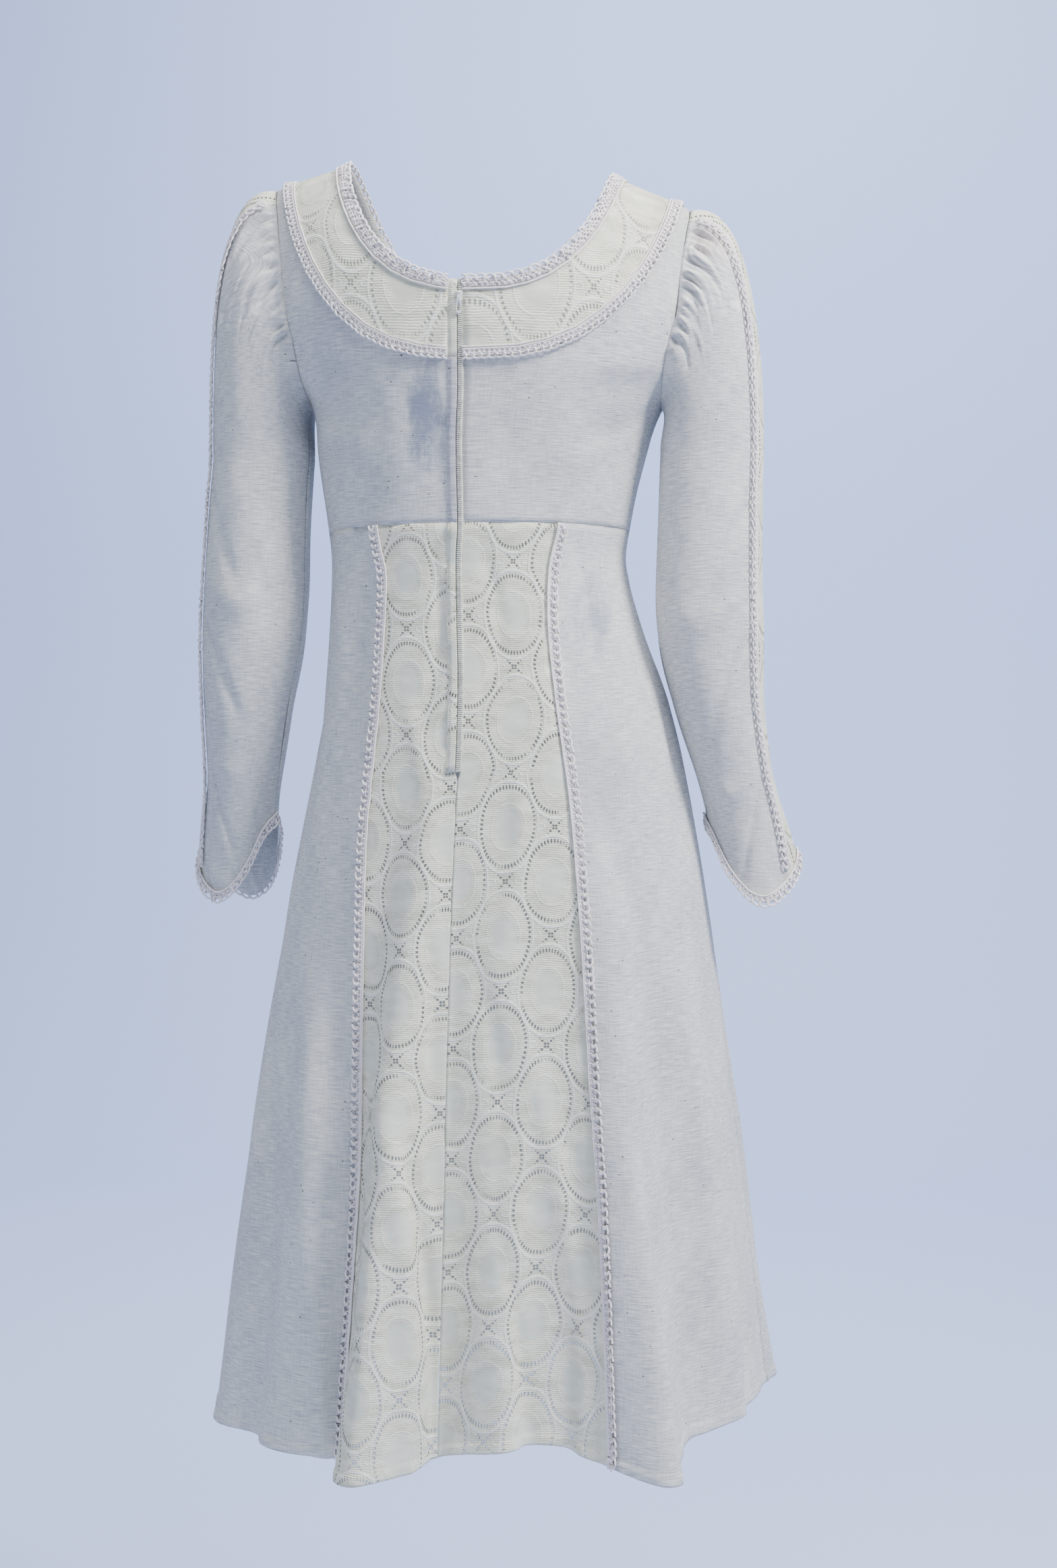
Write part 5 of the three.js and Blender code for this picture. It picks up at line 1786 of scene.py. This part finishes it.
    @staticmethod
    def plate(
        outline: np.ndarray, ends: tuple[float, float], depth: float, window: np.ndarray | None = None
    ) -> tuple[np.ndarray, Faces]:
        """An upright plate with bevelled faces, closed or round a window.

        Args:
            outline: Its outline, across and up.
            ends: How large its back and front faces are beside the outline.
            depth: Its depth.
            window: The window's outline, if there is one.

        Returns:
            The points and faces.
        """
        lines = [outline * ends[0], outline, outline, outline * ends[1]]
        heights = [-depth / 2, -depth / 4, depth / 4, depth / 2]
        if window is not None:
            lines += [window, window]
            heights += [depth / 2, -depth / 2]
        count, rows = len(outline), len(lines)
        faces = []
        for row in range(rows if window is not None else rows - 1):
            start, onward = row * count, (row + 1) % rows * count
            for c in range(count):
                beside = (c + 1) % count
                faces.append((start + c, start + beside, onward + beside, onward + c))
        if window is None:
            faces.append(tuple(range(count))[::-1])
            faces.append(tuple((rows - 1) * count + c for c in range(count)))
        rings = [
            np.stack([line[:, 0], 0 * line[:, 0] - height, line[:, 1]], axis=-1)
            for line, height in zip(lines, heights)
        ]
        return np.concatenate(rings), faces

    @staticmethod
    def wired(
        points: np.ndarray, faces: Faces, path: np.ndarray, radius: float, sides: int
    ) -> tuple[np.ndarray, Faces]:
        """A mesh together with a wire along a path."""
        wire = Yarn()
        wire.tube(path, radius, sides)
        moved = [tuple(int(i) + len(points) for i in face) for face in wire.faces]
        return np.concatenate([points, *wire.points]), faces + moved

    def slider(self, kit: Finishes) -> None:
        """The slider: a waisted body that leans with the cloth, with a bridge for the pull."""
        middle, size = self.room("zip_slider")
        x, y = self.rounded(size[0], self.slider_length, (0.55, 0.45))
        x = x * (0.8 + 0.2 * smoothstep(np.abs(y + 0.6), 0, self.slider_length / 2))
        points, faces = self.plate(np.stack([x, y], axis=-1), (0.9, 0.88), self.slider_depth)
        arch = np.linspace(0, math.pi, 12)
        bridge = np.stack([0 * arch, -1.0 - 0.75 * np.sin(arch), 3.2 * np.cos(arch)], axis=-1)
        points, faces = self.wired(points, faces, bridge, 0.6, 8)
        lean = math.atan2(size[1] - 3.2, self.slider_length)
        points = points @ np.array([[1, 0, 0], [0, math.cos(lean), 0], [0, math.sin(lean), 1]]).T
        made = mesh_object("zip_slider_detail", points + middle, faces, points[:, [0, 2]], kit.enamel)
        declare(made, ("zip_slider",))

    def pull(self, kit: Finishes) -> None:
        """The pull: a tapered tab with a window, hung on an eye."""
        middle, size = self.room("zip_pull")
        x, y = self.rounded(size[0], self.pull_length, (0.55, 0.45))
        x = x * (0.62 + 0.38 * smoothstep(-y, -self.pull_length / 2, self.pull_length * 0.1))
        y = np.where(y > 0, 0.84 * y, y)
        across, along = self.rounded(2.3, 5.2, (0.5, 0.5))
        window = np.stack([across, along - 3.9], axis=-1)
        points, faces = self.plate(np.stack([x, y], axis=-1), (0.96, 0.94), self.pull_depth, window)
        arch = np.linspace(0, 2 * math.pi, 22)
        eye = np.stack([1.25 * np.cos(arch), 0.15 + 0 * arch, 8.3 + 1.1 * np.sin(arch)], axis=-1)
        points, faces = self.wired(points, faces, eye, 0.4, 6)
        made = mesh_object("zip_pull_detail", points + middle, faces, points[:, [0, 2]], kit.enamel)
        declare(made, ("zip_pull",), "zip_pull")


@dataclass(frozen=True)
class Lamp:
    """A soft square lamp: its place, size, power and colour, and what it is aimed at."""

    name: str
    place: Place
    size: float
    watts: float
    colour: Place
    target: Place = (0.02, 0.0, -0.5)

    def hang(self) -> None:
        """Adds the lamp to the scene."""
        data = bpy.data.lights.new(self.name, "AREA")
        data.size = self.size
        data.energy = self.watts
        data.color = self.colour
        lamp = bpy.data.objects.new(self.name, data)
        lamp.location = self.place
        aim = Vector(self.target) - Vector(self.place)
        lamp.rotation_euler = aim.to_track_quat("-Z", "Y").to_euler()
        bpy.context.scene.collection.objects.link(lamp)


@dataclass(frozen=True)
class Studio:
    """A plain pale floor and backdrop, soft lights and the camera."""

    floor_height: float = -1.45
    floor_near: float = -6.0
    floor_far: float = 3.4
    wall_curve: float = 1.6
    wall_top: float = 6.5
    half_width: float = 9.0
    camera_turn: float = 8.0
    distance: float = 2.1
    aside: float = 0.04474
    height: float = -0.5167
    lens: float = 55.6

    def build(self) -> None:
        """Sets up the studio."""
        self.surroundings()
        self.lights()
        self.camera()

    def surroundings(self) -> None:
        """The floor that curves up into a pale blue-grey backdrop."""
        far, radius = self.floor_far, self.wall_curve
        turns = np.linspace(0, math.pi / 2, 13)[1:]
        run = [(self.floor_near, 0.0), (far, 0.0)]
        run += [(far + radius * math.sin(a), radius * (1 - math.cos(a))) for a in turns]
        run.append((far + radius, self.wall_top))
        sides = (-self.half_width, self.half_width)
        grid = np.array([[(x, y, z + self.floor_height) for x in sides] for y, z in run]) / MM
        made = Finish("backdrop_paper", 0.95)
        n = made.nodes
        place = n.add("ShaderNodeTexCoord").outputs["Object"]
        tone = n.noise(place, 0.8, 1.0)
        made.colour(n.mix(tone, (0.60, 0.70, 1.0, 1), (0.65, 0.74, 1.0, 1)))
        index = np.arange(grid.shape[0] * 2).reshape(-1, 2)
        faces = [tuple(face) for face in grid_faces(index, -1).tolist()]
        points = grid.reshape(-1, 3)
        paper = mesh_object("backdrop", points, faces, points[:, :2], made.material)

    def lights(self) -> None:
        """Soft light from above on the right, with a weak fill from the left."""
        world = bpy.data.worlds.new("studio")
        bpy.context.scene.world = world
        world.use_nodes = True
        shade = world.node_tree.nodes["Background"]
        shade.inputs["Color"].default_value = (0.79, 0.86, 1.0, 1)
        shade.inputs["Strength"].default_value = 0.48
        for lamp in (
            Lamp("key", (1.6, -0.8, 1.05), 0.5, 82, (1.0, 0.985, 0.96)),
            Lamp("fill", (-2.4, -1.8, 0.1), 2.0, 10, (0.86, 0.92, 1.0)),
            Lamp("top", (0.3, -0.5, 1.9), 1.2, 58, (0.97, 0.98, 1.0)),
            Lamp("backdrop_light", (0.0, 2.2, 2.2), 2.6, 165, (0.76, 0.85, 1.0), (0.0, 5.0, -0.4)),
        ):
            lamp.hang()

    def camera(self) -> None:
        """The camera behind the dress, a little to its right, level with its middle."""
        turn = math.radians(self.camera_turn)
        data = bpy.data.cameras.new("camera")
        data.lens = self.lens
        data.sensor_width = 36
        data.sensor_fit = "AUTO"
        made = bpy.data.objects.new("camera", data)
        made.location = (
            self.aside * math.cos(turn) + self.distance * math.sin(turn),
            self.aside * math.sin(turn) - self.distance * math.cos(turn),
            self.height,
        )
        made.rotation_euler = (math.pi / 2, 0, turn)
        bpy.context.scene.collection.objects.link(made)
        bpy.context.scene.camera = made


def main() -> None:
    """Builds the dress in order."""
    logging.basicConfig(level=logging.INFO, format="%(name)s %(message)s")
    kit = Finishes()
    bodice = Bodice()
    bodice_grids = bodice.build(kit)
    skirt_grids = Skirt().build(kit)
    for side in Side:
        Sleeve(side).build(kit, bodice)
    Zip().build(kit, bodice_grids, skirt_grids)
    Studio().build()


if __name__ == "__main__":
    main()
